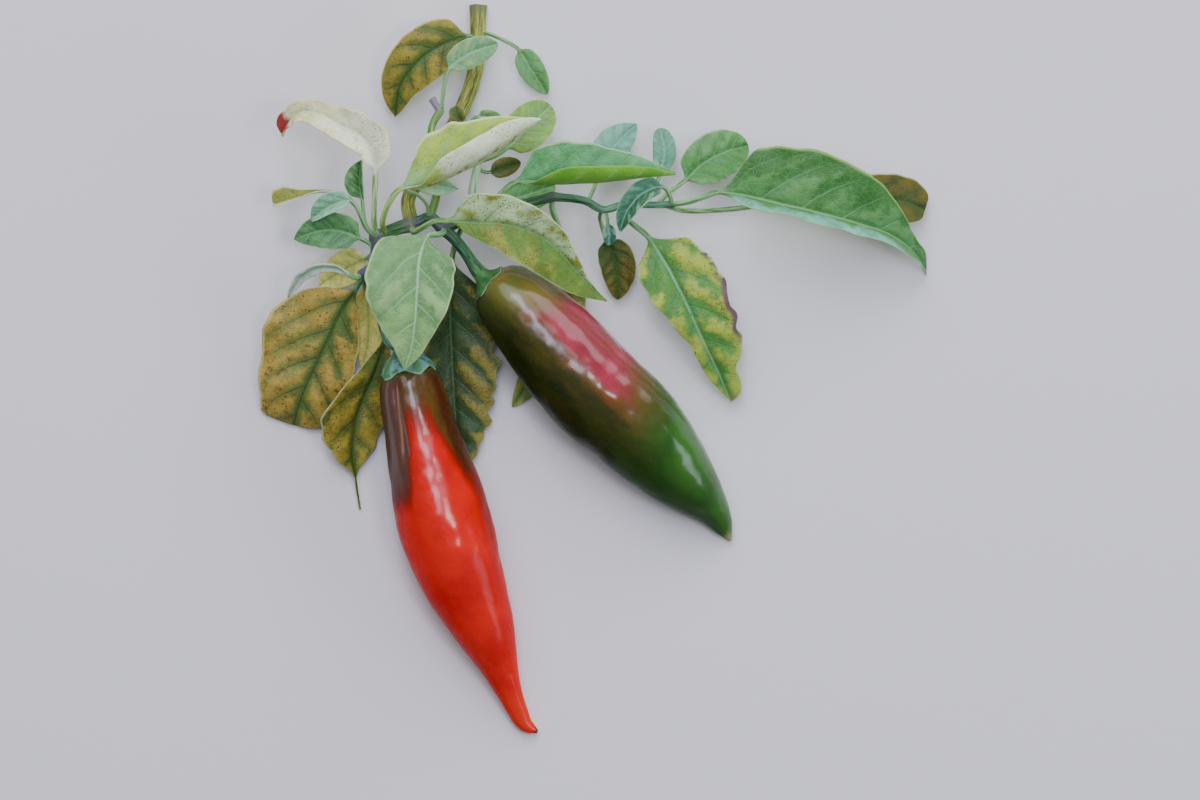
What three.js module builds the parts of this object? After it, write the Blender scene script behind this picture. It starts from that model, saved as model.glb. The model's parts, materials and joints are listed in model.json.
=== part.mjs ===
// Chilli pepper branch with a ripe red fruit and an unripe green fruit, cut from its plant and lying down.
// Millimetres, +Z up. The branch lies on the plane z = 0: X runs to the right and Y from the fruit tips
// towards the cut end of the main stem. Every leaf is one solid with its own stalk, and every fruit is one
// solid below its stalk and calyx.
import * as THREE from "three";

// The branch's own centre on the plane, taken as the origin
const ORIGIN = new THREE.Vector3(-2, 9.4, 0);

// Running gap between solids that meet
const GAP = 0.3;

// Main stem, boughs and twigs: radii
const MAIN_STEM_RADIUS = 2.4;
const BOUGH_RADIUS = 1.9;
const TWIG_RADIUS = 1.15;
const LIMB_SIDES = 8;
const LIMB_STEP = 4;

// Leaves: stalk radius, blade thickness as a share of the blade's length, and its least value
const STALK_RADIUS = 0.85;
const BLADE_SHARE = 0.0105;
const BLADE_LEAST = 0.6;
const BLADE_RINGS = 9;
const LEAST_HALF_WIDTH = 0.3;
const WAVES = 14;

// A leaf stalk has a section at least every so many millimetres and every so many degrees of its bends
const STALK_STEP = 7;
const STALK_TURN = 32;

// Fruits and calyxes: sections and sides
const FRUIT_SIDES = 18;
const FRUIT_RINGS = 20;
const CALYX_SIDES = 15;

// Joints of the branch
const CUT_END = [-36.6, 119, 2.75];
const FORK = [-56.4, 52.5, 19];
const LEFT_NODE = [-67, 48.6, 20];
const LEFT_LOW_NODE = [-71.4, 37.8, 18];
const PURPLE_NODE = [-51, 54.6, 19.5];
const INNER_NODE = [-46.8, 51.3, 20];
const MIDDLE_NODE = [-14.1, 60.9, 20];
const OUTER_NODE = [0.9, 57, 20];
const END_NODE = [21.6, 58.5, 20];
const SHOOT_NODE = [-48, 86.7, 15.5];

// Limbs in the order in which they grow: each starts clear of the ones before it
const LIMBS = [
  {
    name: "main_stem",
    route: [CUT_END, [-37.8, 98.1, 5], [-43.5, 83.7, 8], [-52.5, 69, 13], [-57.4, 60, 17], FORK],
    radii: [MAIN_STEM_RADIUS, 2.1],
    colour: 0x4d6b45,
  },
  {
    name: "left_bough",
    route: [FORK, [-61.5, 51, 19.6], LEFT_NODE],
    radii: [2.1, BOUGH_RADIUS],
    colour: 0x7d8f5c,
  },
  {
    name: "left_twig",
    route: [LEFT_NODE, [-67.6, 43.5, 19.6], [-68.6, 40, 18.8], LEFT_LOW_NODE],
    radii: [1.4, TWIG_RADIUS],
    colour: 0x6d6a78,
  },
  {
    name: "right_bough_inner",
    route: [FORK, [-53.4, 53.7, 19], PURPLE_NODE, INNER_NODE],
    radii: [1.8, 1.8],
    colour: 0x5b5a66,
  },
  {
    name: "right_bough_middle",
    route: [INNER_NODE, [-40, 54, 19.2], [-28, 57.4, 19], MIDDLE_NODE],
    radii: [1.6, 1.4],
    colour: 0x5f7a48,
  },
  {
    name: "right_bough_outer",
    route: [MIDDLE_NODE, [-4.5, 59.6, 20.3], OUTER_NODE, [7.5, 58.5, 20], [15.5, 58.4, 20], END_NODE],
    radii: [1.25, 1],
    colour: 0x5f7a48,
  },
  {
    name: "side_shoot",
    route: [PURPLE_NODE, [-49, 61, 21], [-49.8, 72, 19], [-50.4, 81.9, 16], SHOOT_NODE],
    radii: [1.25, 1.1],
    colour: 0x557a4c,
  },
  {
    name: "broken_stub",
    route: [SHOOT_NODE, [-49.6, 89, 16.2], [-50.4, 90.4, 16.6]],
    radii: [0.9, 1],
    colour: 0x8d8496,
  },
  {
    name: "upper_shoot",
    route: [[-37.6, 55, 19.2], [-38.2, 62.7, 19], [-36.6, 72, 16], [-38, 79.5, 12.6], [-39.4, 83.6, 10.8]],
    radii: [1.35, 1],
    colour: 0x5f8a68,
  },
];

// Fruits: the axis from the shoulder to the tip, and the radius at shares of that length
const FRUITS = [
  {
    name: "red_fruit",
    axis: [[-57.9, 9.6, 17.2], [-55.2, -3.6, 16.9], [-49.5, -26.1, 14.7], [-42, -51, 12.8],
      [-34.2, -69.6, 9.2], [-27.9, -86.4, 5.2], [-25.2, -93, 3.6], [-22.6, -97.8, 2.6], [-18.9, -100.2, 2.2]],
    radii: [[0, 6.4], [0.02, 8.3], [0.07, 9.9], [0.15, 10.8], [0.25, 12.5], [0.36, 14], [0.45, 14],
      [0.54, 12.7], [0.63, 10.8], [0.72, 8.3], [0.79, 5.9], [0.87, 3.8], [0.94, 2.8], [0.98, 1.7], [1, 0.5]],
    colour: 0xb3160c,
    roughness: 0.22,
  },
  {
    name: "green_fruit",
    axis: [[-33.6, 35.1, 19], [-24.9, 28.2, 18.6], [-12.6, 15, 18.4], [-1.2, 2.7, 17.2], [7.9, -4.8, 15.4],
      [21, -18.9, 11.8], [34.2, -33.4, 5.6], [39.3, -42.3, 2.2]],
    radii: [[0, 5.2], [0.02, 6.9], [0.1, 11.1], [0.18, 13.2], [0.28, 14.7], [0.43, 15.2], [0.53, 14.7],
      [0.63, 13.4], [0.72, 11.7], [0.81, 8.7], [0.9, 5.1], [0.96, 2.8], [1, 0.6]],
    colour: 0x3c4a16,
    roughness: 0.25,
  },
];

// Fruit stalks with their calyx: the route to the shoulder, the stalk's radius and the calyx's radius
const FRUIT_STALKS = [
  {
    name: "red_fruit_stalk",
    route: [[-67.6, 42.5, 19.4], [-66.9, 36, 17.6], [-66, 28, 17], [-63, 17.5, 17.2]],
    radius: 1.7,
    calyx: 7.8,
    fruit: "red_fruit",
    colour: 0x4f7a5a,
  },
  {
    name: "green_fruit_stalk",
    route: [INNER_NODE, [-44, 48.6, 20], [-40.2, 44, 19.6]],
    radius: 1.75,
    calyx: 6.2,
    fruit: "green_fruit",
    colour: 0x3d5a30,
  },
];

// Leaves. The stalk runs from its limb to the neck, where the blade starts, and the blade's midrib from there
// to the tip. left and right are the half blades' widths along that way, base and taper the powers that round
// each outline off at the neck and the tip, and drip the share of the blade that is only a thin point. roll is
// the turn about the midrib at neck and tip, fold the rise of each half blade beside the midrib, and curl its
// further rise out to the margin, in degrees. A pair stands for the left and the right half.
const LEAVES = [
  {
    name: "cream_leaf",
    stalk: [[-66.8, 48.8, 20.4], [-67.5, 53.4, 24.2], [-67.2, 60, 28]],
    blade: [[-66.9, 66.6, 30.4], [-66.9, 71, 31.8], [-68, 75, 32.8], [-71.4, 78.8, 33.2], [-77.2, 82, 32.6],
      [-83.6, 85.4, 30.6], [-89.2, 86, 28], [-93, 82.6, 25.4], [-95, 78.8, 23.6]],
    left: 7.4, right: 9, base: [0.8, 0.9], taper: [1.4, 3.6],
    roll: [0, 10], fold: [38, 10], curl: [12, 10], wave: 0.08,
    colour: 0xd9dcc4,
  },
  {
    name: "curled_yellow_leaf",
    stalk: [[-64.2, 49.8, 20.4], [-64.9, 53.2, 25.2], [-62.8, 58.8, 28.6]],
    blade: [[-59.7, 62.7, 30], [-51.4, 64, 31], [-43.5, 67.2, 31.6], [-36, 70.6, 31.8], [-28.5, 75.6, 31.2],
      [-17.7, 83.7, 29]],
    left: 14.6, right: 12, base: [0.7, 1], taper: [1, 0.8],
    roll: [0, 0], fold: [12, 85], curl: [-4, 90], wave: 0.04, stations: 3,
    colour: 0xb5bd6a,
  },
  {
    name: "blue_green_leaf",
    stalk: [[-51.4, 54.8, 20], [-51.7, 58.2, 23.4], [-54.4, 61.2, 25.4], [-57.8, 62.8, 26], [-58, 65, 24.6]],
    blade: [[-55.6, 65.4, 23.4], [-51, 64.6, 23], [-46.4, 63.6, 23], [-42.3, 63, 23]],
    left: 3.6, right: 3.4, base: 0.5, taper: 0.8,
    roll: [0, 0], fold: [10, 10], curl: [0, 0], wave: 0.05,
    colour: 0x6f9490,
  },
  {
    name: "small_upright_leaf",
    stalk: [[-67.2, 48.5, 20], [-69.6, 51.2, 20], [-70.8, 56.4, 20.4]],
    blade: [[-71.1, 60, 21], [-71.8, 66, 21.6], [-71.4, 71.7, 21.4]],
    left: 4.8, right: 4.6, base: 0.6, taper: 0.8,
    roll: [-10, -10], fold: [20, 70], curl: [0, 0], wave: 0.05,
    colour: 0x3f6638,
  },
  {
    name: "small_folded_leaf",
    stalk: [[-66.9, 48.6, 20.8], [-69.3, 51.2, 24.4], [-72, 56.6, 26]],
    blade: [[-74.4, 59.4, 26.4], [-78, 58.9, 26], [-82, 57, 24.4], [-86.4, 53.7, 22]],
    left: 2.8, right: 4.6, base: 0.5, taper: 0.8,
    roll: [0, 0], fold: [30, 30], curl: [0, 0], wave: 0.04,
    colour: 0x9fb382,
  },
  {
    name: "narrow_cup_leaf",
    stalk: [[-67.2, 48.4, 19.2], [-70.2, 51.6, 16.4], [-73.4, 58.4, 16.8]],
    blade: [[-77.7, 61.8, 17.6], [-83.7, 62.8, 17.6], [-90.6, 61.4, 16.6], [-98.2, 59.2, 14]],
    left: 2.8, right: 3.8, base: 1.5, taper: 0.4,
    roll: [80, 30], fold: [10, 10], curl: [30, 30], wave: 0.03,
    colour: 0xa9a552,
  },
  {
    name: "left_green_leaf",
    stalk: [[-67.4, 45, 19.7], [-69, 46.8, 19.8]],
    blade: [[-71.7, 48.3, 20], [-78, 50.6, 20.4], [-84, 50.6, 19], [-91.8, 48.3, 15.5]],
    left: 5.8, right: 5.6, base: 0.5, taper: 0.8,
    roll: [0, 0], fold: [8, 12], curl: [0, 0], wave: 0.06,
    colour: 0x557745,
  },
  {
    name: "front_pale_leaf",
    stalk: [[-46.8, 51, 20.4], [-46.9, 49.9, 24.8], [-48.4, 49.3, 28.8]],
    blade: [[-51.4, 48.6, 31.4], [-53.6, 42, 34.4], [-54.3, 33, 35.2], [-54.9, 24, 34.4], [-56.1, 15.6, 32.6],
      [-58.2, 8.9, 31]],
    left: 11.2, right: 15.8, base: [0.36, 0.52], taper: [0.9, 0.96],
    roll: [0, 0], fold: [6, -4], curl: [4, -14], wave: 0.05,
    colour: 0xa9b98a,
  },
  {
    name: "arched_edge_leaf",
    stalk: [[-71.3, 38, 18.2], [-73, 36.4, 19.4]],
    blade: [[-75, 37.4, 20.4], [-78.8, 39.2, 21.4], [-84, 39.4, 21], [-89.4, 36.8, 18.4], [-93.6, 30.6, 14]],
    left: 3.4, right: 3.8, base: 0.6, taper: 0.6,
    roll: [-72, -46], fold: [10, 10], curl: [0, 0], wave: 0.04,
    colour: 0x8fa06a,
  },
  {
    name: "orange_leaf",
    stalk: [[-71.4, 37.7, 17.9], [-72.1, 35.4, 16.6]],
    blade: [[-73, 33.6, 15.6], [-78, 26.4, 13.4], [-82, 18, 11.4], [-86, 9.6, 9.2], [-89.6, 1.6, 7],
      [-91.6, -4.4, 4.2], [-92.4, -7.6, 1.4]],
    left: 13, right: 18.8, base: [0.8, 0.34], taper: [0.3, 0.5],
    roll: [0, 0], fold: [-8, 4], curl: [-4, -8], wave: 0.05,
    colour: 0xb98a35,
  },
  {
    name: "yellow_back_leaf",
    stalk: [[-71.4, 37.4, 17.4], [-71.4, 36.4, 13.6]],
    blade: [[-70.8, 34.4, 10.8], [-69.8, 27, 6.4], [-70, 18, 4.2], [-71.6, 9, 3]],
    left: 5.6, right: 4.6, base: 0.4, taper: 0.7,
    roll: [0, 0], fold: [0, 0], curl: [0, 0], wave: 0.05,
    colour: 0xb2a144,
  },
  {
    name: "far_yellow_leaf",
    stalk: [[-67.7, 43.2, 19.5], [-68.6, 43.4, 15.4]],
    blade: [[-70.2, 42.6, 12.6], [-76.5, 39.6, 9.8], [-84.6, 34.5, 7]],
    left: 5.4, right: 5.4, base: 0.5, taper: 0.7,
    roll: [0, 0], fold: [0, 0], curl: [0, 0], wave: 0.05,
    colour: 0xa8a455,
  },
  {
    name: "drip_tip_leaf",
    stalk: [[-69, 39.8, 18.4], [-69.4, 38, 14.8], [-67.4, 31, 11.6]],
    blade: [[-64.4, 21, 10.2], [-67.6, 8.4, 8.6], [-72, -1.5, 6.8], [-74.4, -12, 4.8], [-73.9, -22.5, 2.8],
      [-72.4, -33, 1.1]],
    left: 9.4, right: 12.8, base: [0.9, 1.1], taper: [0.55, 0.55], drip: 0.17,
    roll: [0, 0], fold: [-10, 34], curl: [-10, 4], wave: 0.06,
    colour: 0x8f8f3c,
  },
  {
    name: "dark_leaf",
    stalk: [[-38.6, 54.7, 19.2], [-40.4, 53, 16], [-42.9, 48.6, 14.6]],
    blade: [[-44.4, 42.6, 12.2], [-45.2, 33, 8.6], [-45, 21, 5.6], [-44.3, 6, 3.8], [-43.2, -9, 2.8], [-41.2, -20.4, 1.6]],
    left: 14, right: 8.5, base: [0.6, 0.7], taper: [0.68, 0.6],
    roll: [0, 0], fold: [6, 0], curl: [-4, -6], wave: 0.07,
    colour: 0x4b5b2a,
  },
  {
    name: "under_fruit_leaf",
    stalk: [[-14.2, 60.6, 19.8], [-14.4, 57.4, 17.4], [-12.6, 52.5, 15.2], [-11.5, 46.5, 12.6]],
    blade: [[-10.5, 41.4, 9.8], [-9.9, 31.5, 4.6], [-14, 18, 2], [-21, 6, 1.7], [-26.4, -2.1, 1.3]],
    left: 6.4, right: 6.4, base: 0.5, taper: 0.7,
    roll: [0, 0], fold: [0, 0], curl: [0, 0], wave: 0.03,
    colour: 0x8a9a4a,
  },
  {
    name: "speckled_leaf",
    stalk: [[-56.2, 52.4, 19], [-55.9, 50.2, 22.6], [-53, 51.4, 26.8], [-49.5, 53.2, 29.4]],
    blade: [[-45.9, 53.4, 30.8], [-37.5, 52.8, 32.4], [-28.8, 52.4, 33], [-22.4, 50.6, 32.2], [-16.2, 47.7, 31],
      [-11.1, 43.2, 29.4], [-5.1, 36.3, 26.6], [2, 29.4, 23.6]],
    left: 9.8, right: 10.2, base: [0.55, 1.1], taper: [1.7, 1.05],
    roll: [0, 8], fold: [20, 10], curl: [10, -6], wave: 0.05,
    colour: 0xa7ab5e,
  },
  {
    name: "folded_green_leaf",
    stalk: [[-33, 55.9, 19.1], [-32, 58.6, 22], [-29.4, 61.8, 24.2]],
    blade: [[-25.2, 65, 26], [-15, 64.8, 28], [0, 65.2, 29], [12, 66.6, 28.4], [22.4, 67.6, 26.6]],
    left: 12.6, right: 9, base: [0.5, 0.7], taper: [1, 0.9],
    roll: [0, 0], fold: [8, 85], curl: [4, 85], wave: 0.04, stations: 3,
    colour: 0x6f9a5c,
  },
  {
    name: "back_tip_leaf",
    stalk: [[-36.7, 71.4, 16.2], [-33, 72.4, 17.4], [-30.4, 73.6, 17.6]],
    blade: [[-28, 75.4, 17.6], [-21.6, 81.6, 17.4], [-14.7, 88.4, 15]],
    left: 6.8, right: 6.6, base: 0.5, taper: 0.5,
    roll: [0, 0], fold: [8, 8], curl: [0, 0], wave: 0.05,
    colour: 0x93a45c,
  },
  {
    name: "shoot_end_leaf",
    stalk: [[-39.2, 82.8, 11], [-37.8, 84.8, 12.4]],
    blade: [[-36.4, 85, 13.4], [-33, 84.8, 14.4], [-29.1, 83.1, 14]],
    left: 2.8, right: 3, base: 0.5, taper: 0.6,
    roll: [0, 0], fold: [30, 30], curl: [0, 0], wave: 0.03,
    colour: 0xa4b07a,
  },
  {
    name: "olive_bud_leaf",
    stalk: [[-38.6, 81.4, 11.8], [-40.4, 82.6, 14]],
    blade: [[-41.4, 83.4, 15], [-43, 85.6, 15.8], [-43.4, 88.2, 15.4]],
    left: 2.4, right: 2.6, base: 0.5, taper: 0.5,
    roll: [0, 0], fold: [10, 10], curl: [0, 0], wave: 0.03,
    colour: 0x6f6424,
  },
  {
    name: "olive_back_leaf",
    stalk: [[-36.8, 69.6, 16.8], [-34.6, 68.4, 14.6]],
    blade: [[-33, 68.4, 13.6], [-28.6, 70, 12.8], [-23.8, 71.4, 11.6]],
    left: 3, right: 3, base: 0.5, taper: 0.6,
    roll: [0, 0], fold: [0, 0], curl: [0, 0], wave: 0.03,
    colour: 0x8f8a4a,
  },
  {
    name: "green_back_leaf",
    stalk: [[-31, 56.7, 19], [-30.8, 58, 15.4]],
    blade: [[-28.6, 59.4, 13.4], [-22.5, 61.5, 11.8], [-13.4, 64.6, 9.4]],
    left: 6, right: 5.4, base: 0.5, taper: 0.6,
    roll: [0, 0], fold: [4, 4], curl: [0, 0], wave: 0.04,
    colour: 0x5f8050,
  },
  {
    name: "bud_leaf",
    stalk: [[1.4, 57, 19.8], [2.2, 54.6, 19.6]],
    blade: [[2.3, 53, 19], [2.8, 50, 17.8], [2.7, 46.2, 15.8]],
    left: 2.2, right: 2.2, base: 0.6, taper: 0.7,
    roll: [0, 0], fold: [20, 20], curl: [0, 0], wave: 0,
    colour: 0x4f7a66,
  },
  {
    name: "small_right_leaf",
    stalk: [[21.4, 58.6, 20.2], [20.8, 61.2, 23]],
    blade: [[18.8, 63.6, 24.2], [12.4, 61.4, 25.4], [7.8, 55.8, 25], [6, 50.4, 23]],
    left: 5.4, right: 4.4, base: 0.5, taper: 0.8,
    roll: [0, 0], fold: [60, 10], curl: [10, 10], wave: 0.04,
    colour: 0x7fae7c,
  },
  {
    name: "hanging_leaf",
    stalk: [[6, 58.2, 20], [6.8, 55.4, 17.2], [10.2, 52.4, 16.8]],
    blade: [[14.4, 48.9, 17.4], [18.8, 42.3, 18.6], [24.6, 31.5, 18.8], [30.9, 18, 15.6], [36, 7.5, 10], [39.6, -0.6, 5]],
    left: 13, right: 8.4, base: [0.35, 0.35], taper: [0.6, 0.9],
    roll: [0, 0], fold: [4, 8], curl: [-10, -10], wave: 0.07,
    colour: 0x8f9f45,
  },
  {
    name: "big_right_leaf",
    stalk: [[21.4, 58.5, 20.4], [27, 59.4, 21], [31.5, 60.9, 21.6]],
    blade: [[35.4, 62.2, 22.6], [54, 58.6, 23.6], [73.5, 53.9, 21], [87.6, 49.4, 14.6], [95.4, 43.6, 7], [98.8, 38.2, 1.4]],
    left: 18.2, right: 9.2, base: [0.5, 0.4], taper: [1.05, 0.75],
    roll: [0, 0], fold: [6, -64], curl: [4, -10], wave: 0.04,
    colour: 0x4f8a45,
  },
  {
    name: "olive_far_leaf",
    stalk: [[19, 58.4, 19.8], [25.4, 56.8, 15.6], [42, 57.6, 13.6], [56, 60, 13.6]],
    blade: [[66, 61.2, 13.6], [80, 60.8, 12.4], [90.6, 60, 9.4], [98, 57.4, 5.6]],
    left: 6.6, right: 6, base: 0.6, taper: 0.4,
    roll: [0, 0], fold: [6, 6], curl: [0, 0], wave: 0.03,
    colour: 0x6d6a22,
  },
  {
    name: "pale_far_leaf",
    stalk: [[12, 58.4, 20], [14.6, 61.4, 15.4], [16.8, 64.6, 12.6]],
    blade: [[18, 68, 11.4], [19.4, 75, 10.8], [18, 82, 9]],
    left: 3.6, right: 3.6, base: 0.5, taper: 0.5,
    roll: [0, 0], fold: [0, 0], curl: [0, 0], wave: 0.04,
    colour: 0xa8bb92,
  },
  {
    name: "round_far_leaf",
    stalk: [[17, 58.4, 20], [21, 62.4, 14.6]],
    blade: [[25.6, 66, 12], [30.6, 70.8, 11], [37.4, 74.6, 10], [44.6, 76.6, 8]],
    left: 7.4, right: 7.6, base: 0.5, taper: 0.5,
    roll: [0, 0], fold: [6, 6], curl: [0, 0], wave: 0.04,
    colour: 0x5f9048,
  },
  {
    name: "upper_far_leaf",
    stalk: [[-3.6, 59.3, 20.2], [-1.6, 64, 14.4]],
    blade: [[0.2, 68.4, 12.2], [4.5, 76.5, 11], [11.1, 83.1, 9]],
    left: 6, right: 5.4, base: 0.5, taper: 0.8,
    roll: [0, 0], fold: [4, 4], curl: [0, 0], wave: 0.04,
    colour: 0x7fa382,
  },
  {
    name: "olive_hanging_leaf",
    stalk: [[0.4, 56.9, 19.6], [0, 54.4, 15.6], [0.8, 51.4, 13.2]],
    blade: [[1.8, 48.6, 11.6], [5, 40.5, 8.4], [5.4, 30.2, 4.4]],
    left: 6, right: 5, base: 0.5, taper: 0.7,
    roll: [0, 0], fold: [0, 0], curl: [0, 0], wave: 0.04,
    colour: 0x5a5a24,
  },
  {
    name: "yellow_top_leaf",
    stalk: [[-37.4, 107, 3.8], [-38.2, 108.8, 7.4]],
    blade: [[-40, 109.4, 9.6], [-47, 107, 12.4], [-54, 102.4, 13], [-60, 94.8, 10.4], [-61.8, 85.4, 5.4]],
    left: 8, right: 8.6, base: 0.5, taper: 0.85,
    roll: [0, 0], fold: [4, 4], curl: [-6, -6], wave: 0.05,
    colour: 0xc0963c,
  },
  {
    name: "pale_top_leaf",
    stalk: [[-47.6, 87, 15.8], [-47.1, 91, 16.8], [-46.4, 95.6, 17.6]],
    blade: [[-45.3, 99, 18.2], [-39.6, 103.5, 18.6], [-30.6, 106.8, 16.4]],
    left: 4.4, right: 4.4, base: 0.5, taper: 0.6,
    roll: [0, 0], fold: [6, 6], curl: [0, 0], wave: 0.04,
    colour: 0xb4c2a2,
  },
  {
    name: "green_top_leaf",
    stalk: [[-36.9, 111.6, 3.2], [-33, 110.2, 6], [-27.6, 107.6, 7.6]],
    blade: [[-24.6, 105.6, 8], [-20.8, 99.6, 7.4], [-15.9, 92.2, 5]],
    left: 4.2, right: 3.8, base: 0.5, taper: 0.7,
    roll: [0, 0], fold: [10, 10], curl: [0, 0], wave: 0.04,
    colour: 0x7aa348,
  },
];

// A smooth curve through points given as [x, y, z]
function curveThrough(points) {
  const knots = points.map((point) => new THREE.Vector3(...point));
  return new THREE.CatmullRomCurve3(knots, false, "centripetal");
}

// The share of a curve's length at which it passes its knot number index
function shareAtKnot(curve, index) {
  const divisions = curve.arcLengthDivisions;
  const lengths = curve.getLengths(divisions);
  const place = Math.round((divisions * index) / (curve.points.length - 1));
  return lengths[place] / lengths[divisions];
}

// A value read smoothly from a list of [share, value] knots
function smoothValue(knots, share) {
  let index = 0;
  while (index < knots.length - 2 && share > knots[index + 1][0]) {
    index += 1;
  }
  const slope = (at) => {
    const low = knots[Math.max(at - 1, 0)];
    const high = knots[Math.min(at + 1, knots.length - 1)];
    return (high[1] - low[1]) / (high[0] - low[0]);
  };
  const [start, end] = [knots[index], knots[index + 1]];
  const span = end[0] - start[0];
  const part = THREE.MathUtils.clamp((share - start[0]) / span, 0, 1);
  const square = part * part;
  const cube = square * part;
  return (
    start[1] * (2 * cube - 3 * square + 1) +
    slope(index) * span * (cube - 2 * square + part) +
    end[1] * (3 * square - 2 * cube) +
    slope(index + 1) * span * (cube - square)
  );
}

// One closed solid over rings of points, each closed at the ends by a fan round its middle
function solidOverRings(rings) {
  const sides = rings[0].length;
  const positions = rings.flat().flatMap((point) => [point.x, point.y, point.z]);
  const triangles = [];
  for (let ring = 0; ring < rings.length - 1; ring += 1) {
    for (let side = 0; side < sides; side += 1) {
      const next = (side + 1) % sides;
      const low = ring * sides;
      const high = low + sides;
      triangles.push(low + side, low + next, high + next);
      triangles.push(low + side, high + next, high + side);
    }
  }
  for (const [ring, facesBack] of [[0, true], [rings.length - 1, false]]) {
    const middle = new THREE.Vector3();
    rings[ring].forEach((point) => middle.addScaledVector(point, 1 / sides));
    const centre = positions.length / 3;
    positions.push(middle.x, middle.y, middle.z);
    for (let side = 0; side < sides; side += 1) {
      const here = ring * sides + side;
      const next = ring * sides + ((side + 1) % sides);
      triangles.push(centre, facesBack ? next : here, facesBack ? here : next);
    }
  }
  const geometry = new THREE.BufferGeometry();
  geometry.setAttribute("position", new THREE.Float32BufferAttribute(positions, 3));
  geometry.setIndex(triangles);
  geometry.computeVertexNormals();
  return geometry;
}

// A round ring of the given radius about a point, across the direction along
function roundRing(centre, across, up, radius, sides) {
  const ring = [];
  for (let side = 0; side < sides; side += 1) {
    const angle = (2 * Math.PI * side) / sides;
    const size = typeof radius === "function" ? radius(angle) : radius;
    const point = centre.clone();
    point.addScaledVector(across, size * Math.cos(angle));
    point.addScaledVector(up, size * Math.sin(angle));
    ring.push(point);
  }
  return ring;
}

// Two directions across a way: one level, and one as near upright as the way lets it be
function levelFrame(along) {
  const across = new THREE.Vector3(0, 0, 1).cross(along).normalize();
  const up = along.clone().cross(across).normalize();
  return { across, up };
}

// The limbs and stalks built so far, as short discs along their middle lines
const discs = [];
const DISC_STEP = 0.4;

function keepDiscs(curve, radiusAt, from, to) {
  const length = curve.getLength();
  for (let way = from * length; way <= to * length; way += DISC_STEP) {
    const share = way / length;
    discs.push({ middle: curve.getPointAt(share), along: curve.getTangentAt(share), radius: radiusAt(share) });
  }
}

function isClearOfDiscs(point) {
  return discs.every((disc) => {
    const reach = point.clone().sub(disc.middle);
    const way = reach.dot(disc.along);
    const sideways = Math.sqrt(Math.max(0, reach.lengthSq() - way * way));
    return Math.abs(way) > DISC_STEP + GAP || sideways > disc.radius + GAP;
  });
}

// The first share of a curve where a round section of that radius is clear of every limb built so far
function firstClearShare(curve, radius) {
  const length = curve.getLength();
  for (let way = 0; way < length / 2; way += 0.1) {
    const share = way / length;
    const centre = curve.getPointAt(share);
    const { across, up } = levelFrame(curve.getTangentAt(share));
    const rim = roundRing(centre, across, up, radius, LIMB_SIDES);
    if ([centre, ...rim].every(isClearOfDiscs)) {
      return share;
    }
  }
  return 0.5;
}

function material(colour, roughness) {
  return new THREE.MeshStandardMaterial({ color: colour, roughness, metalness: 0 });
}

function namedMesh(name, geometry, look) {
  const mesh = new THREE.Mesh(geometry, look);
  mesh.name = name;
  return mesh;
}

// A tapering limb with a slight swelling at each end, where its nodes are
function makeLimb({ name, route, radii, colour }) {
  const curve = curveThrough(route);
  const length = curve.getLength();
  const radiusAt = (share) => {
    const fromEnd = Math.min(share, 1 - share) * length;
    const swelling = 0.14 * Math.exp(-fromEnd * fromEnd * 0.25);
    return THREE.MathUtils.lerp(radii[0], radii[1], share) * (1 + swelling);
  };
  const start = firstClearShare(curve, radii[0]);
  const steps = Math.max(3, Math.ceil((length * (1 - start)) / LIMB_STEP));
  const rings = [];
  for (let step = 0; step <= steps; step += 1) {
    const share = THREE.MathUtils.lerp(start, 1, step / steps);
    const { across, up } = levelFrame(curve.getTangentAt(share));
    rings.push(roundRing(curve.getPointAt(share), across, up, radiusAt(share), LIMB_SIDES));
  }
  keepDiscs(curve, radiusAt, start, 1);
  return namedMesh(name, solidOverRings(rings), material(colour, 0.55));
}

// A fruit: a long tapering body, flat under its calyx, a little uneven round its section
function makeFruit({ name, axis, radii, colour, roughness }) {
  const curve = curveThrough(axis);
  const rings = [];
  for (let step = 0; step <= FRUIT_RINGS; step += 1) {
    const share = (1 - Math.cos((Math.PI * step) / FRUIT_RINGS)) / 2;
    const { across, up } = levelFrame(curve.getTangentAt(share));
    const body = smoothValue(radii, share);
    const uneven = (angle) => body * (1 + 0.02 * Math.cos(3 * angle + 5 * share));
    rings.push(roundRing(curve.getPointAt(share), across, up, uneven, FRUIT_SIDES));
  }
  return namedMesh(name, solidOverRings(rings), material(colour, roughness));
}

// A fruit's stalk, which widens into a lobed calyx that lies on the fruit's shoulder
function makeFruitStalk({ name, route, radius, calyx, fruit, colour }) {
  const body = curveThrough(FRUITS.find((each) => each.name === fruit).axis);
  const shoulder = body.getPointAt(0);
  const inward = body.getTangentAt(0);
  const neck = shoulder.clone().addScaledVector(inward, -6);
  const seat = shoulder.clone().addScaledVector(inward, -GAP);
  const curve = curveThrough([...route, neck.toArray(), seat.toArray()]);
  const length = curve.getLength();
  const start = firstClearShare(curve, radius);
  const flare = [[0, calyx * 0.94], [0.9, calyx], [1.5, calyx * 0.72], [2.6, radius * 1.9], [4.6, radius * 1.3]];
  const stalkSteps = 6;
  const sections = [];
  for (let step = 0; step <= stalkSteps; step += 1) {
    const way = THREE.MathUtils.lerp(start * length, length - 8, step / stalkSteps);
    sections.push([way, radius]);
  }
  flare.reverse().forEach(([fromSeat, size]) => sections.push([length - fromSeat, size]));
  const rings = sections.map(([way, size]) => {
    const share = way / length;
    const { across, up } = levelFrame(curve.getTangentAt(share));
    const lobes = size > radius * 2 ? 0.05 : 0;
    const lobed = (angle) => size * (1 + lobes * Math.cos(5 * angle));
    return roundRing(curve.getPointAt(share), across, up, lobed, CALYX_SIDES);
  });
  return namedMesh(name, solidOverRings(rings), material(colour, 0.6));
}

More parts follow.
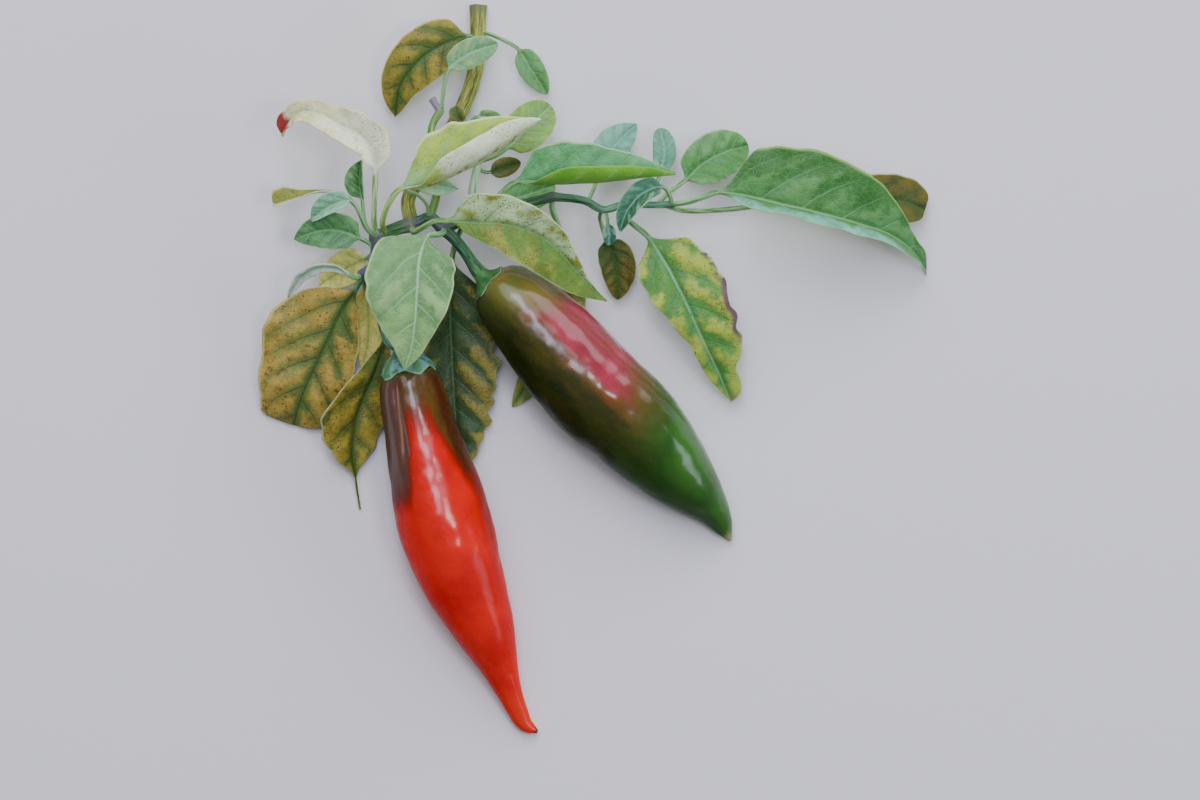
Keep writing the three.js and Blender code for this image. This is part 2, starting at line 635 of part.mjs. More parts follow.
// A pair of values, for the left and the right half
function pairOf(value) {
  return Array.isArray(value) ? value : [value, value];
}

// The blade's outline: its half width as a share of the widest, from the neck to the tip
function outlineShare(base, taper, share) {
  const widest = base / (base + taper);
  const value = (at) => Math.pow(at, base) * Math.pow(1 - at, taper);
  return value(THREE.MathUtils.clamp(share, 0, 1)) / value(widest);
}

// A point of a half blade: how far out and how far up it lies at a share of the way to the margin
function halfBladePoint(width, fold, curl, out) {
  const start = THREE.MathUtils.degToRad(fold);
  const turn = THREE.MathUtils.degToRad(Math.abs(curl) < 0.5 ? 0.5 : curl);
  const angle = start + turn * out;
  return {
    outward: (width * (Math.sin(angle) - Math.sin(start))) / turn,
    upward: (width * (Math.cos(start) - Math.cos(angle))) / turn,
    angle,
  };
}

// A frame carried to another way along a curve without a twist
function carriedFrame(frame, along) {
  const turn = new THREE.Quaternion().setFromUnitVectors(frame.along, along);
  const across = frame.across.clone().applyQuaternion(turn);
  return { along, across, up: along.clone().cross(across).normalize() };
}

// Frames along a leaf: level at the neck, and carried from there to both ends
function leafFrames(leaf, curve, shares, neckShare) {
  const neck = shares.indexOf(neckShare);
  const along = curve.getTangentAt(neckShare);
  const frames = [{ along, ...levelFrame(along) }];
  for (let place = neck - 1; place >= 0; place -= 1) {
    frames.unshift(carriedFrame(frames[0], curve.getTangentAt(shares[place])));
  }
  for (let place = neck + 1; place < shares.length; place += 1) {
    frames.push(carriedFrame(frames[place - 1], curve.getTangentAt(shares[place])));
  }
  return frames.map((frame, place) => {
    const bladeShare = Math.max(0, (shares[place] - neckShare) / (1 - neckShare));
    const roll = THREE.MathUtils.degToRad(THREE.MathUtils.lerp(leaf.roll[0], leaf.roll[1], bladeShare));
    return {
      across: frame.across.clone().applyAxisAngle(frame.along, roll),
      up: frame.up.clone().applyAxisAngle(frame.along, roll),
    };
  });
}

// One section of a leaf: the upper face from the left margin to the right one, then the under face back
function leafSection(leaf, centre, frame, bladeShare, thickness) {
  const [bases, tapers] = [pairOf(leaf.base), pairOf(leaf.taper)];
  const outlined = bladeShare / (1 - (leaf.drip ?? 0));
  const bladePart = THREE.MathUtils.smoothstep(bladeShare, 0, 0.12);
  const rolled = THREE.MathUtils.smoothstep(bladeShare, 0.05, 0.35);
  const rib = STALK_RADIUS * (1 - bladeShare);
  const stalkRadius = STALK_RADIUS * (1 - 0.5 * bladeShare);
  const stations = leaf.stations ?? 2;
  const count = 2 * stations + 1;
  const ring = [];
  for (let place = 0; place < 2 * count; place += 1) {
    const onTop = place < count;
    const station = onTop ? stations - place : place - count - stations;
    const out = Math.abs(station) / stations;
    const side = station >= 0 ? 0 : 1;
    const mirror = station >= 0 ? 1 : -1;
    const outline = outlineShare(bases[side], tapers[side], outlined);
    const width = Math.max((side === 0 ? leaf.left : leaf.right) * outline, LEAST_HALF_WIDTH);
    const wave = leaf.wave * width * out * out * Math.sin(WAVES * bladeShare + 2 * side);
    const half = halfBladePoint(width, leaf.fold[side], leaf.curl[side] * rolled, out);
    const skin = (onTop ? 0.5 : -0.5) * thickness - (onTop || station !== 0 ? 0 : rib);
    const bladeAcross = mirror * (half.outward - (station === 0 ? 0 : skin * Math.sin(half.angle)));
    const bladeUp = half.upward + skin * Math.cos(station === 0 ? 0 : half.angle) + wave;
    const angle = (Math.PI * (place + 0.5)) / count;
    const point = centre.clone();
    point.addScaledVector(
      frame.across,
      THREE.MathUtils.lerp(stalkRadius * Math.cos(angle), bladeAcross, bladePart),
    );
    point.addScaledVector(frame.up, THREE.MathUtils.lerp(stalkRadius * Math.sin(angle), bladeUp, bladePart));
    ring.push(point);
  }
  return ring;
}

// How far a curve turns between two shares of its length, in degrees
function turnBetween(curve, from, to) {
  let turn = 0;
  const steps = 16;
  for (let step = 0; step < steps; step += 1) {
    const here = curve.getTangentAt(THREE.MathUtils.lerp(from, to, step / steps));
    const next = curve.getTangentAt(THREE.MathUtils.lerp(from, to, (step + 1) / steps));
    turn += THREE.MathUtils.radToDeg(here.angleTo(next));
  }
  return turn;
}

// A leaf: a round stalk from its limb that spreads into the blade
function makeLeaf(leaf) {
  const curve = curveThrough([...leaf.stalk, ...leaf.blade]);
  const length = curve.getLength();
  const neckShare = shareAtKnot(curve, leaf.stalk.length);
  const thickness = Math.max(BLADE_LEAST, length * (1 - neckShare) * BLADE_SHARE);
  const start = firstClearShare(curve, STALK_RADIUS);
  const bends = turnBetween(curve, start, neckShare) / STALK_TURN;
  const stalkSteps = Math.max(1, Math.ceil(Math.max(((neckShare - start) * length) / STALK_STEP, bends)));
  const shares = [];
  for (let step = 0; step < stalkSteps; step += 1) {
    shares.push(THREE.MathUtils.lerp(start, neckShare, step / stalkSteps));
  }
  for (let step = 0; step <= BLADE_RINGS; step += 1) {
    const bladeShare = (1 - Math.cos((Math.PI * step) / BLADE_RINGS)) / 2;
    shares.push(THREE.MathUtils.lerp(neckShare, 1, bladeShare));
  }
  const frames = leafFrames(leaf, curve, shares, neckShare);
  const rings = shares.map((share, place) => {
    const bladeShare = Math.max(0, (share - neckShare) / (1 - neckShare));
    return leafSection(leaf, curve.getPointAt(share), frames[place], bladeShare, thickness);
  });
  keepDiscs(curve, () => STALK_RADIUS, start, neckShare);
  return namedMesh(leaf.name, solidOverRings(rings), material(leaf.colour, 0.5));
}

const branch = new THREE.Group();
branch.position.copy(ORIGIN).negate();
LIMBS.forEach((limb) => branch.add(makeLimb(limb)));
FRUITS.forEach((fruit) => branch.add(makeFruit(fruit)));
FRUIT_STALKS.forEach((stalk) => branch.add(makeFruitStalk(stalk)));
LEAVES.forEach((leaf) => branch.add(makeLeaf(leaf)));

export default branch;
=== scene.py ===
# A chilli pepper branch, cut and lying down, with a ripe red pepper and an unripe green one. Lengths in the
# tables are millimetres in the photograph's own square, with X to the right and Y up; the pieces are metres.
import bisect
import json
import math

import bpy
from mathutils import Matrix, Vector, noise

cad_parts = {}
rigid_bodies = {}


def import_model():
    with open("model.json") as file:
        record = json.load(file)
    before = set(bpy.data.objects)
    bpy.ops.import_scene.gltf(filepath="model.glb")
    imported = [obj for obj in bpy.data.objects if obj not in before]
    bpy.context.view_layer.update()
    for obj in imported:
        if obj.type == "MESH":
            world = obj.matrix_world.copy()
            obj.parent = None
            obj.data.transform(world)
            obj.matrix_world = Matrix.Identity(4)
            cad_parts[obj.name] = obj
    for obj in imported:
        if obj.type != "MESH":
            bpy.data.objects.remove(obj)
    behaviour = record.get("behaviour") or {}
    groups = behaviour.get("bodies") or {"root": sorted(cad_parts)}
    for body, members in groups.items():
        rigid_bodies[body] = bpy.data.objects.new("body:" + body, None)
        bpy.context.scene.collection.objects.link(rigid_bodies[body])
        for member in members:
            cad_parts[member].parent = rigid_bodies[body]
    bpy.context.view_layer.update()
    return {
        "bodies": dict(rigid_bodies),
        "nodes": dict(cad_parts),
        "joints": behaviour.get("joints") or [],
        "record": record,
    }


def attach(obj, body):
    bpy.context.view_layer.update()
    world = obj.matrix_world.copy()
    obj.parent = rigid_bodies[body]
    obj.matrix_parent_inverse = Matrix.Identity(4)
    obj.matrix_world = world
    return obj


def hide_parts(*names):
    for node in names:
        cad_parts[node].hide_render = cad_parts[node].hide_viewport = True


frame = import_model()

# The branch's own centre on the floor, and metres in a millimetre
ORIGIN = Vector((-2, 9.4, 0))
MM = 0.001

# Main stem, boughs and twigs: radii, the distance between rings, points round, rings on a round end, and
# the ridges' height as a share of the radius on a limb and on a pepper's stalk
MAIN_STEM_RADIUS = 2.4
BOUGH_RADIUS = 1.9
TWIG_RADIUS = 1.15
LIMB_STEP = 0.8
LIMB_SIDES = 40
CAP_STEPS = 8
LIMB_RIDGE = 0.05
STALK_RIDGE = 0.06

# Leaves: a stalk's radius and the distance between its rings, the blade's thickness, the distance between its
# points, its least half width, the waves along a margin and the thickness of the midrib to the stalk's
STALK_RADIUS = 0.85
STALK_STEP = 1.2
BLADE_THICKNESS = 0.34
BLADE_STEP = 0.75
LEAST_HALF_WIDTH = 0.3
WAVES = 14
MIDRIB = 0.8

# Side veins: how steeply they leave the midrib, how they bend, how far the right half's are shifted along,
# and the least gap between two
VEIN_SLOPE = 0.72
VEIN_BEND = 0.028
VEIN_SHIFT = 0.46
LEAST_VEIN_GAP = 3.2

# Peppers and their calyxes: points round them, rings along a pepper, the calyx's rings out to its rim and
# back under it, and the share of its way out where it leaves its flare for the pepper's shoulder
FRUIT_SIDES = 112
FRUIT_RINGS = 190
CALYX_SIDES = 90
CALYX_ROWS = 34
CALYX_LAP = 14
CALYX_SHOULDER = 0.6

# A pepper's stalk inside its calyx: the last two points of its route, measured from the shoulder, and how far
# before the route's end it stops
NECK_POINTS = (-6, -0.3)
STALK_STOPS = 4

# The main stem's cut face: points round it, and rows of its height and radius from the back to the middle
CUT_SIDES = 36
CUT_ROWS = [(-0.3, 0.4), (-0.3, 2.1), (0.02, 2.3), (0.06, 2.1), (0.06, 1.0), (0.05, 0.3)]

# Gloss of leaves, bark and calyxes, and of the peppers' own wax
LEAF_GLOSS = 0.32
CALYX_GLOSS = 0.35
WAX = {"Coat_Roughness": 0.19, "Coat_IOR": 1.55, "Specular_IOR_Level": 0.05}

# The picture, in metres: half the floor's side, and the camera's height and lens
FLOOR_HALF = 2.5
CAMERA_HEIGHT = 2.015
CAMERA_LENS = 200

# Soft lamps from behind, above and the right, and two small ones for the glints on the fruits:
# name, place, width, length, watts and colour
LAMPS = [
    ("sky_lamp", (-0.25, 1.15, 1.1), 1.5, 1.0, 13, (1.0, 1.0, 0.97)),
    ("long_lamp", (-0.10, 0.55, 1.25), 0.30, 1.1, 11, (0.72, 0.68, 1.0)),
    ("cross_lamp", (-0.06, 0.29, 1.30), 1.3, 0.22, 3.0, (0.80, 0.80, 1.0)),
    ("corner_lamp", (1.0, 1.35, 0.66), 1.2, 0.8, 12, (0.98, 0.92, 1.0)),
    ("right_lamp", (1.40, -0.35, 0.66), 0.9, 0.45, 7, (0.74, 0.87, 1.0)),
    ("glint_lamp", (0.45, 0.0, 1.40), 0.26, 0.26, 3.6, (1, 1, 1)),
    ("side_glint_lamp", (-0.24, 0.1, 1.45), 0.14, 0.24, 1.0, (1, 1, 1)),
]

# Joints of the branch
CUT_END = [-36.6, 119, 2.75]
FORK = [-56.4, 52.5, 19]
LEFT_NODE = [-67, 48.6, 20]
LEFT_LOW_NODE = [-71.4, 37.8, 18]
PURPLE_NODE = [-51, 54.6, 19.5]
INNER_NODE = [-46.8, 51.3, 20]
MIDDLE_NODE = [-14.1, 60.9, 20]
OUTER_NODE = [0.9, 57, 20]
END_NODE = [21.6, 58.5, 20]
SHOOT_NODE = [-48, 86.7, 15.5]

# Each limb's name, the points that it follows, and its radius at its start and end
LIMBS = [
    ("main_stem", [CUT_END, [-37.8, 98.1, 5], [-43.5, 83.7, 8], [-52.5, 69, 13], [-57.4, 60, 17], FORK],
     (MAIN_STEM_RADIUS, 2.1)),
    ("left_bough", [FORK, [-61.5, 51, 19.6], LEFT_NODE], (2.1, BOUGH_RADIUS)),
    ("left_twig", [LEFT_NODE, [-67.6, 43.5, 19.6], [-68.6, 40, 18.8], LEFT_LOW_NODE], (1.4, TWIG_RADIUS)),
    ("right_bough_inner", [FORK, [-53.4, 53.7, 19], PURPLE_NODE, INNER_NODE], (1.8, 1.8)),
    ("right_bough_middle", [INNER_NODE, [-40, 54, 19.2], [-28, 57.4, 19], MIDDLE_NODE], (1.6, 1.4)),
    ("right_bough_outer", [MIDDLE_NODE, [-4.5, 59.6, 20.3], OUTER_NODE, [7.5, 58.5, 20], [15.5, 58.4, 20],
                           END_NODE], (1.25, 1)),
    ("side_shoot", [PURPLE_NODE, [-49, 61, 21], [-49.8, 72, 19], [-50.4, 81.9, 16], SHOOT_NODE], (1.25, 1.1)),
    ("broken_stub", [SHOOT_NODE, [-49.6, 89, 16.2], [-50.4, 90.4, 16.6]], (0.9, 1)),
    ("upper_shoot", [[-37.6, 55, 19.2], [-38.2, 62.7, 19], [-36.6, 72, 16], [-38, 79.5, 12.6],
                     [-39.4, 83.6, 10.8]], (1.35, 1)),
]

# Peppers: the middle line, rows of [share of its length, radius], and creases as [middle angle, start and end
# share, depth as a share of the radius, breadth in radians]
FRUITS = {
    "red_fruit": {
        "axis": [[-57.9, 9.6, 17.2], [-55.2, -3.6, 16.9], [-49.5, -26.1, 14.7], [-42, -51, 12.8],
            [-34.2, -69.6, 9.2], [-27.9, -86.4, 5.2], [-25.2, -93, 3.6], [-22.6, -97.8, 2.6],
            [-18.9, -100.2, 2.2]],
        "radii": [[0, 6.4], [0.02, 8.3], [0.07, 9.9], [0.15, 10.8], [0.25, 12.5], [0.36, 14], [0.45, 14],
            [0.54, 12.7], [0.63, 10.8], [0.72, 8.3], [0.79, 5.9], [0.87, 3.8], [0.94, 2.8], [0.98, 1.7],
            [1, 0.5]],
        "seed": 2.0, "creases": [[2.08, 0.01, 0.26, 0.09, 0.13], [4.6, 0.02, 0.4, 0.03, 0.4]],
    },
    "green_fruit": {
        "axis": [[-33.6, 35.1, 19], [-24.9, 28.2, 18.6], [-12.6, 15, 18.4], [-1.2, 2.7, 17.2],
            [7.9, -4.8, 15.4], [21, -18.9, 11.8], [34.2, -33.4, 5.6], [39.3, -42.3, 2.2]],
        "radii": [[0, 5.4], [0.02, 8.2], [0.06, 10.6], [0.1, 11.9], [0.18, 13.4], [0.28, 14.7], [0.43, 15.2],
            [0.53, 14.7], [0.63, 13.4], [0.72, 11.7], [0.81, 8.7], [0.9, 5.1], [0.96, 2.8], [1, 0.6]],
        "seed": 7.0, "creases": [[2.5, 0.02, 0.5, 0.02, 0.5]],
    },
}

# The peppers' stalks, each with its calyx: its reach, its turn, how far its rim drops and its lobes further,
# how much it leans to the stalk's end, and its flare as rows of [place along the pepper from its shoulder,
# share of its reach]
FRUIT_STALKS = [
    {
        "name": "red_fruit_stalk", "fruit": "red_fruit", "radius": 1.7,
        "route": [[-67.6, 42.5, 19.4], [-66.9, 36, 17.6], [-66, 28, 17], [-63, 17.5, 17.2]],
        "reach": 7.8, "turn": 0.6, "drop": 0.7, "lobes": 1.8, "lean": 0.2,
        "flare": [[-6, 0.30], [-4.9, 0.42], [-3.9, 0.58], [-2.8, 0.76], [-1.6, 0.9], [-0.6, 0.98]],
    },
    {
        "name": "green_fruit_stalk", "fruit": "green_fruit", "radius": 1.75,
        "route": [INNER_NODE, [-44, 48.6, 20], [-40.2, 44, 19.6]],
        "reach": 6.2, "turn": 2.0, "drop": 0.3, "lobes": 0.6, "lean": 1,
        "flare": [[-6, 0.32], [-4.6, 0.34], [-3.2, 0.40], [-2, 0.49], [-1, 0.67], [-0.3, 0.88]],
    },
]

# What a leaf has unless its own row says otherwise. Pairs are for its left and right half, seen from the
# stalk, except "roll", the blade's turn about its midrib at its foot and its tip. "half" is the half widths,
# and "base" and "taper" shape the outline. "fold" and "curl" are how much a half stands up at the midrib and
# turns from there out to the margin, in degrees. "margins" are rows of [share of the blade, factor on the
# outline], or the outline itself where they start at 0. "drip" is the share that is a thin drip tip.
USUAL_LEAF = {
    "base": 0.5, "taper": 0.8, "roll": [0, 0], "fold": [0, 0], "curl": [0, 0], "wave": 0.04, "veins": 4,
    "drip": 0, "swell": 0.4, "margins": [None, None], "ruffle": 0.25, "ragged": [0.05, 0.05], "notches": 11,
    "tones": {},
}

LEAVES = [
    {
        "name": "cream_leaf", "look": "cream", "half": [7.4, 9],
        "stalk": [[-66.8, 48.8, 20.4], [-67.5, 53.4, 24.2], [-67.2, 60, 28]],
        "blade": [[-66.9, 66.6, 30.4], [-66.9, 71, 31.8], [-68, 75, 32.8], [-71.4, 78.8, 33.2],
            [-77.2, 82, 32.6], [-83.6, 85.4, 30.6], [-89.2, 86, 28], [-93, 82.6, 25.4], [-95, 78.8, 23.6]],
        "base": [0.8, 0.9], "taper": [0.9, 1.2], "roll": [0, 10], "fold": [38, 10], "curl": [12, 10],
        "wave": 0.08, "ruffle": 0.9, "ragged": [0.14, 0.12],
        "margins": [
            [[0, 1], [0.4, 0.9], [0.6, 0.8], [0.75, 0.95], [0.88, 1.6], [0.95, 2.8], [1, 4]],
            [[0, 1], [0.25, 0.9], [0.4, 0.7], [0.5, 0.52], [0.6, 0.45], [0.75, 0.55], [0.85, 1],
                [0.93, 2.4], [1, 4]],
        ],
    },
    {
        "name": "curled_yellow_leaf", "look": "curled_yellow", "half": [14.6, 12],
        "stalk": [[-64.2, 49.8, 20.4], [-64.9, 53.2, 25.2], [-62.8, 58.8, 28.6]],
        "blade": [[-59.7, 62.7, 30], [-51.4, 64, 31], [-43.5, 67.2, 31.6], [-36, 70.6, 31.8],
            [-28.5, 75.6, 31.2], [-17.7, 83.7, 29]],
        "base": [0.7, 1], "taper": [1, 0.8], "fold": [12, 85], "curl": [-4, 90], "veins": 5,
    },
    {
        "name": "blue_green_leaf", "look": "pale", "half": [3.6, 3.4],
        "stalk": [[-51.4, 54.8, 20], [-51.7, 58.2, 23.4], [-54.4, 61.2, 25.4], [-57.8, 62.8, 26],
            [-58, 65, 24.6]],
        "blade": [[-55.6, 65.4, 23.4], [-51, 64.6, 23], [-46.4, 63.6, 23], [-42.3, 63, 23]],
        "fold": [10, 10], "wave": 0.05,
        # Painted light: these tones are raised above the leaf's own blue-green, where it lies in the shade of
        # other leaves.
        "tones": {"left": (0.34, 0.76, 0.48), "right": (0.28, 0.64, 0.4), "patch": (0.4, 0.7, 0.36)},
    },
    {
        "name": "small_upright_leaf", "look": "green", "half": [4.8, 4.6],
        "stalk": [[-67.2, 48.5, 20], [-69.6, 51.2, 20], [-70.8, 56.4, 20.4]],
        "blade": [[-71.1, 60, 21], [-71.8, 66, 21.6], [-71.4, 71.7, 21.4]],
        "base": 0.6, "roll": [-10, -10], "fold": [20, 70], "wave": 0.05,
        "tones": {"face": (0.045, 0.16, 0.035)},
    },
    {
        "name": "small_folded_leaf", "look": "pale", "half": [2.8, 4.6],
        "stalk": [[-66.9, 48.6, 20.8], [-69.3, 51.2, 24.4], [-72, 56.6, 26]],
        "blade": [[-74.4, 59.4, 26.4], [-78, 58.9, 26], [-82, 57, 24.4], [-86.4, 53.7, 22]],
        "fold": [30, 30],
        "tones": {"left": (0.36, 0.86, 0.62), "right": (0.17, 0.48, 0.25), "patch": (0.27, 0.66, 0.42)},
    },
    {
        "name": "narrow_cup_leaf", "look": "yellow", "half": [2.8, 3.4],
        "stalk": [[-67.2, 48.4, 19.2], [-70.2, 51.6, 16.4], [-73.4, 58.4, 16.8]],
        "blade": [[-77.7, 61.8, 17.6], [-83.7, 62.8, 17.6], [-90.6, 61.4, 16.6], [-98.2, 59.2, 14]],
        "base": 1.5, "taper": 0.35, "roll": [60, 20], "fold": [10, 10], "curl": [30, 30], "wave": 0.03,
        "margins": [
            [[0, 0.3], [0.35, 0.34], [0.6, 0.6], [0.8, 1.1], [1, 1.2]],
            [[0, 0.3], [0.35, 0.34], [0.6, 0.7], [0.8, 1.25], [1, 1.3]],
        ],
        "tones": {
            "left": (0.62, 0.74, 0.46), "right": (0.26, 0.29, 0.035), "under": (0.34, 0.48, 0.2),
            "patch": (0.34, 0.31, 0.05), "patch_margin": -1.0, "rim": (0.66, 0.76, 0.5), "rim_width": 0.14,
            "halo_show": 0.2, "vein_show": 0.2,
        },
    },
    {
        "name": "left_green_leaf", "look": "green", "half": [5.8, 5.6],
        "stalk": [[-67.4, 45, 19.7], [-69, 46.8, 19.8]],
        "blade": [[-71.7, 48.3, 20], [-78, 50.6, 20.4], [-84, 50.6, 19], [-91.8, 48.3, 15.5]],
        "fold": [8, 12], "wave": 0.06,
        "tones": {"left": (0.066, 0.19, 0.095), "right": (0.08, 0.23, 0.085)},
    },
    {
        "name": "front_pale_leaf", "look": "pale", "half": [11.2, 15.8],
        "stalk": [[-46.8, 51, 20.4], [-46.9, 49.9, 24.8], [-48.4, 49.3, 28.8]],
        "blade": [[-51.4, 48.6, 31.4], [-53.6, 42, 34.4], [-54.3, 33, 35.2], [-54.9, 24, 34.4],
            [-56.1, 15.6, 32.6], [-58.2, 8.9, 31]],
        "base": [0.36, 0.52], "taper": [0.9, 0.96], "fold": [6, -4], "curl": [4, -14], "wave": 0.05,
        "ragged": [0.04, 0.05],
        "margins": [
            [[0, 1], [0.45, 1], [0.65, 0.9], [0.85, 0.84], [1, 0.9]],
            [[0, 1], [0.5, 1], [0.8, 0.9], [1, 0.9]],
        ],
        "tones": {
            "left": (0.1, 0.25, 0.075), "right": (0.14, 0.33, 0.1), "patch": (0.24, 0.44, 0.14),
            "patch_tip": 1.3, "vein_show": 0.55, "halo": (0.1, 0.27, 0.07),
        },
    },
    {
        "name": "arched_edge_leaf", "look": "pale", "half": [1.9, 2.1],
        "stalk": [[-71.3, 38, 18.2], [-73, 36.4, 19.4]],
        "blade": [[-75, 37.4, 20.4], [-78.8, 39.2, 21.4], [-84, 39.4, 21], [-89.4, 36.8, 18.4],
            [-93.6, 30.6, 14]],
        "base": 0.6, "taper": 0.6, "roll": [-50, -44], "fold": [10, 10],
        "tones": {
            "left": (0.86, 0.95, 0.84), "right": (0.64, 0.8, 0.64), "patch": (0.8, 0.92, 0.8),
            "back": (0.46, 0.66, 0.52),
        },
    },
    {
        "name": "orange_leaf", "look": "orange", "half": [13, 18.8],
        "stalk": [[-71.4, 37.7, 17.9], [-72.1, 35.4, 16.6]],
        "blade": [[-73, 33.6, 15.6], [-78, 26.4, 13.4], [-82, 18, 11.4], [-86, 9.6, 9.2], [-89.6, 1.6, 7],
            [-91.6, -4.4, 4.2], [-92.4, -7.6, 1.4]],
        "base": [0.8, 0.34], "taper": [0.3, 0.5], "fold": [-8, 4], "curl": [-4, -8], "wave": 0.05,
        "veins": 5, "swell": 0.5, "ragged": [0.05, 0.06],
        "margins": [
            None,
            [[0, 0.35], [0.08, 0.5], [0.2, 0.8], [0.35, 1], [0.5, 1.02], [0.62, 0.97], [0.85, 1],
                [0.93, 1.25], [0.97, 1.6], [0.99, 2.2], [1, 2.4]],
        ],
    },
    {
        "name": "yellow_back_leaf", "look": "yellow", "half": [5.6, 4.6],
        "stalk": [[-71.4, 37.4, 17.4], [-71.4, 36.4, 13.6]],
        "blade": [[-70.8, 34.4, 10.8], [-69.8, 27, 6.4], [-70, 18, 4.2], [-71.6, 9, 3]],
        "base": 0.4, "taper": 0.7, "wave": 0.05,
        # Painted light: these tones are raised above the leaf's own yellow, for the light that the leaves
        # over it keep off.
        "tones": {"face": (0.88, 0.8, 0.17), "patch": (0.94, 0.8, 0.2), "halo_show": 0.3, "vein_show": 0.3},
    },
    {
        "name": "far_yellow_leaf", "look": "yellow", "half": [5.4, 5.4],
        "stalk": [[-67.7, 43.2, 19.5], [-68.6, 43.4, 15.4]],
        "blade": [[-70.2, 42.6, 12.6], [-76.5, 39.6, 9.8], [-84.6, 34.5, 7]],
        "taper": 0.7, "wave": 0.05,
        # Painted light: these tones are raised above the leaf's own yellow, for the light that the leaves
        # over it keep off.
        "tones": {
            "face": (0.92, 0.88, 0.22), "patch": (0.95, 0.84, 0.2), "halo_show": 0.25, "vein_show": 0.3,
        },
    },
    {
        "name": "drip_tip_leaf", "look": "olive", "half": [9.4, 12.8],
        "stalk": [[-69, 39.8, 18.4], [-69.4, 38, 14.8], [-67.4, 31, 11.6]],
        "blade": [[-64.4, 21, 10.2], [-67.6, 8.4, 8.6], [-72, -1.5, 6.8], [-74.4, -12, 4.8],
            [-73.9, -22.5, 2.8], [-72.4, -33, 1.1]],
        "base": [0.9, 1.1], "taper": [0.55, 0.55], "fold": [-10, 34], "curl": [-10, 4], "wave": 0.06,
        "veins": 5, "drip": 0.17, "swell": 0.45,
        "margins": [
            [[0, 0], [0.1, 0.2], [0.3, 0.6], [0.5, 0.95], [0.6, 1], [0.7, 0.82], [0.8, 0.76], [0.88, 0.45],
                [0.94, 0.15], [1, 0]],
            [[0, 0], [0.1, 0.1], [0.4, 0.62], [0.6, 1], [0.64, 1.02], [0.68, 0.9], [0.75, 0.86],
                [0.8, 0.64], [0.87, 0.46], [0.94, 0.14], [1, 0]],
        ],
        "tones": {
            "left": (0.15, 0.21, 0.028), "right": (0.17, 0.2, 0.028), "patch": (0.38, 0.31, 0.035),
            "tip": (0.22, 0.27, 0.08), "tip_from": 0.93, "mottle_show": 0.75,
        },
    },
    {
        "name": "dark_leaf", "look": "dark", "half": [14, 8.5],
        "stalk": [[-38.6, 54.7, 19.2], [-40.4, 53, 16], [-42.9, 48.6, 14.6]],
        "blade": [[-44.4, 42.6, 12.2], [-45.2, 33, 8.6], [-45, 21, 5.6], [-44.3, 6, 3.8], [-43.2, -9, 2.8],
            [-41.2, -20.4, 1.6]],
        "base": [0.6, 0.7], "taper": [0.68, 0.6], "fold": [6, 0], "curl": [-4, -6], "wave": 0.07,
        "veins": 7, "swell": 0.6, "ruffle": 0.4, "ragged": [0.24, 0.05], "notches": 19,
    },
    {
        "name": "under_fruit_leaf", "look": "yellow", "half": [6.4, 6.4],
        "stalk": [[-14.2, 60.6, 19.8], [-14.4, 57.4, 17.4], [-12.6, 52.5, 15.2], [-11.5, 46.5, 12.6]],
        "blade": [[-10.5, 41.4, 9.8], [-9.9, 31.5, 4.6], [-14, 18, 2], [-21, 6, 1.7], [-26.4, -2.1, 1.3]],
        "taper": 0.7, "wave": 0.03, "veins": 6,
        "tones": {"left": (0.2, 0.27, 0.07)},
    },
    {
        "name": "speckled_leaf", "look": "speckled", "half": [9.8, 10.2],
        "stalk": [[-56.2, 52.4, 19], [-55.9, 50.2, 22.6], [-53, 51.4, 26.8], [-49.5, 53.2, 29.4]],
        "blade": [[-45.9, 53.4, 30.8], [-37.5, 52.8, 32.4], [-28.8, 52.4, 33], [-22.4, 50.6, 32.2],
            [-16.2, 47.7, 31], [-11.1, 43.2, 29.4], [-5.1, 36.3, 26.6], [2, 29.4, 23.6]],
        "base": [0.55, 1.1], "taper": [1.7, 1.05], "roll": [0, 8], "fold": [20, 10], "curl": [10, -6],
        "wave": 0.05, "veins": 5, "ragged": [0.12, 0.04],
    },
    {
        "name": "folded_green_leaf", "look": "green", "half": [12.6, 9],
        "stalk": [[-33, 55.9, 19.1], [-32, 58.6, 22], [-29.4, 61.8, 24.2]],
        "blade": [[-25.2, 65, 26], [-15, 64.8, 28], [0, 65.2, 29], [12, 66.6, 28.4], [22.4, 67.6, 26.6]],
        "base": [0.5, 0.7], "taper": [1, 0.9], "fold": [8, 85], "curl": [4, 85], "veins": 5,
        "tones": {
            "tip": (0.05, 0.02, 0.07), "tip_from": 0.96, "left": (0.11, 0.42, 0.13),
            "patch": (0.15, 0.46, 0.18), "under": (0.15, 0.42, 0.03), "under_base": (0.17, 0.46, 0.04),
        },
    },
    {
        "name": "back_tip_leaf", "look": "pale", "half": [6.8, 6.6],
        "stalk": [[-36.7, 71.4, 16.2], [-33, 72.4, 17.4], [-30.4, 73.6, 17.6]],
        "blade": [[-28, 75.4, 17.6], [-21.6, 81.6, 17.4], [-14.7, 88.4, 15]],
        "taper": 0.5, "fold": [8, 8], "wave": 0.05,
        "tones": {"face": (0.17, 0.35, 0.04), "patch": (0.24, 0.4, 0.06), "vein_show": 0.3},
    },
    {
        "name": "shoot_end_leaf", "look": "pale", "half": [2.8, 3],
        "stalk": [[-39.2, 82.8, 11], [-37.8, 84.8, 12.4]],
        "blade": [[-36.4, 85, 13.4], [-33, 84.8, 14.4], [-29.1, 83.1, 14]],
        "taper": 0.6, "fold": [30, 30], "wave": 0.03,
    },
    {
        "name": "olive_bud_leaf", "look": "olive", "half": [2.4, 2.6],
        "stalk": [[-38.6, 81.4, 11.8], [-40.4, 82.6, 14]],
        "blade": [[-41.4, 83.4, 15], [-43, 85.6, 15.8], [-43.4, 88.2, 15.4]],
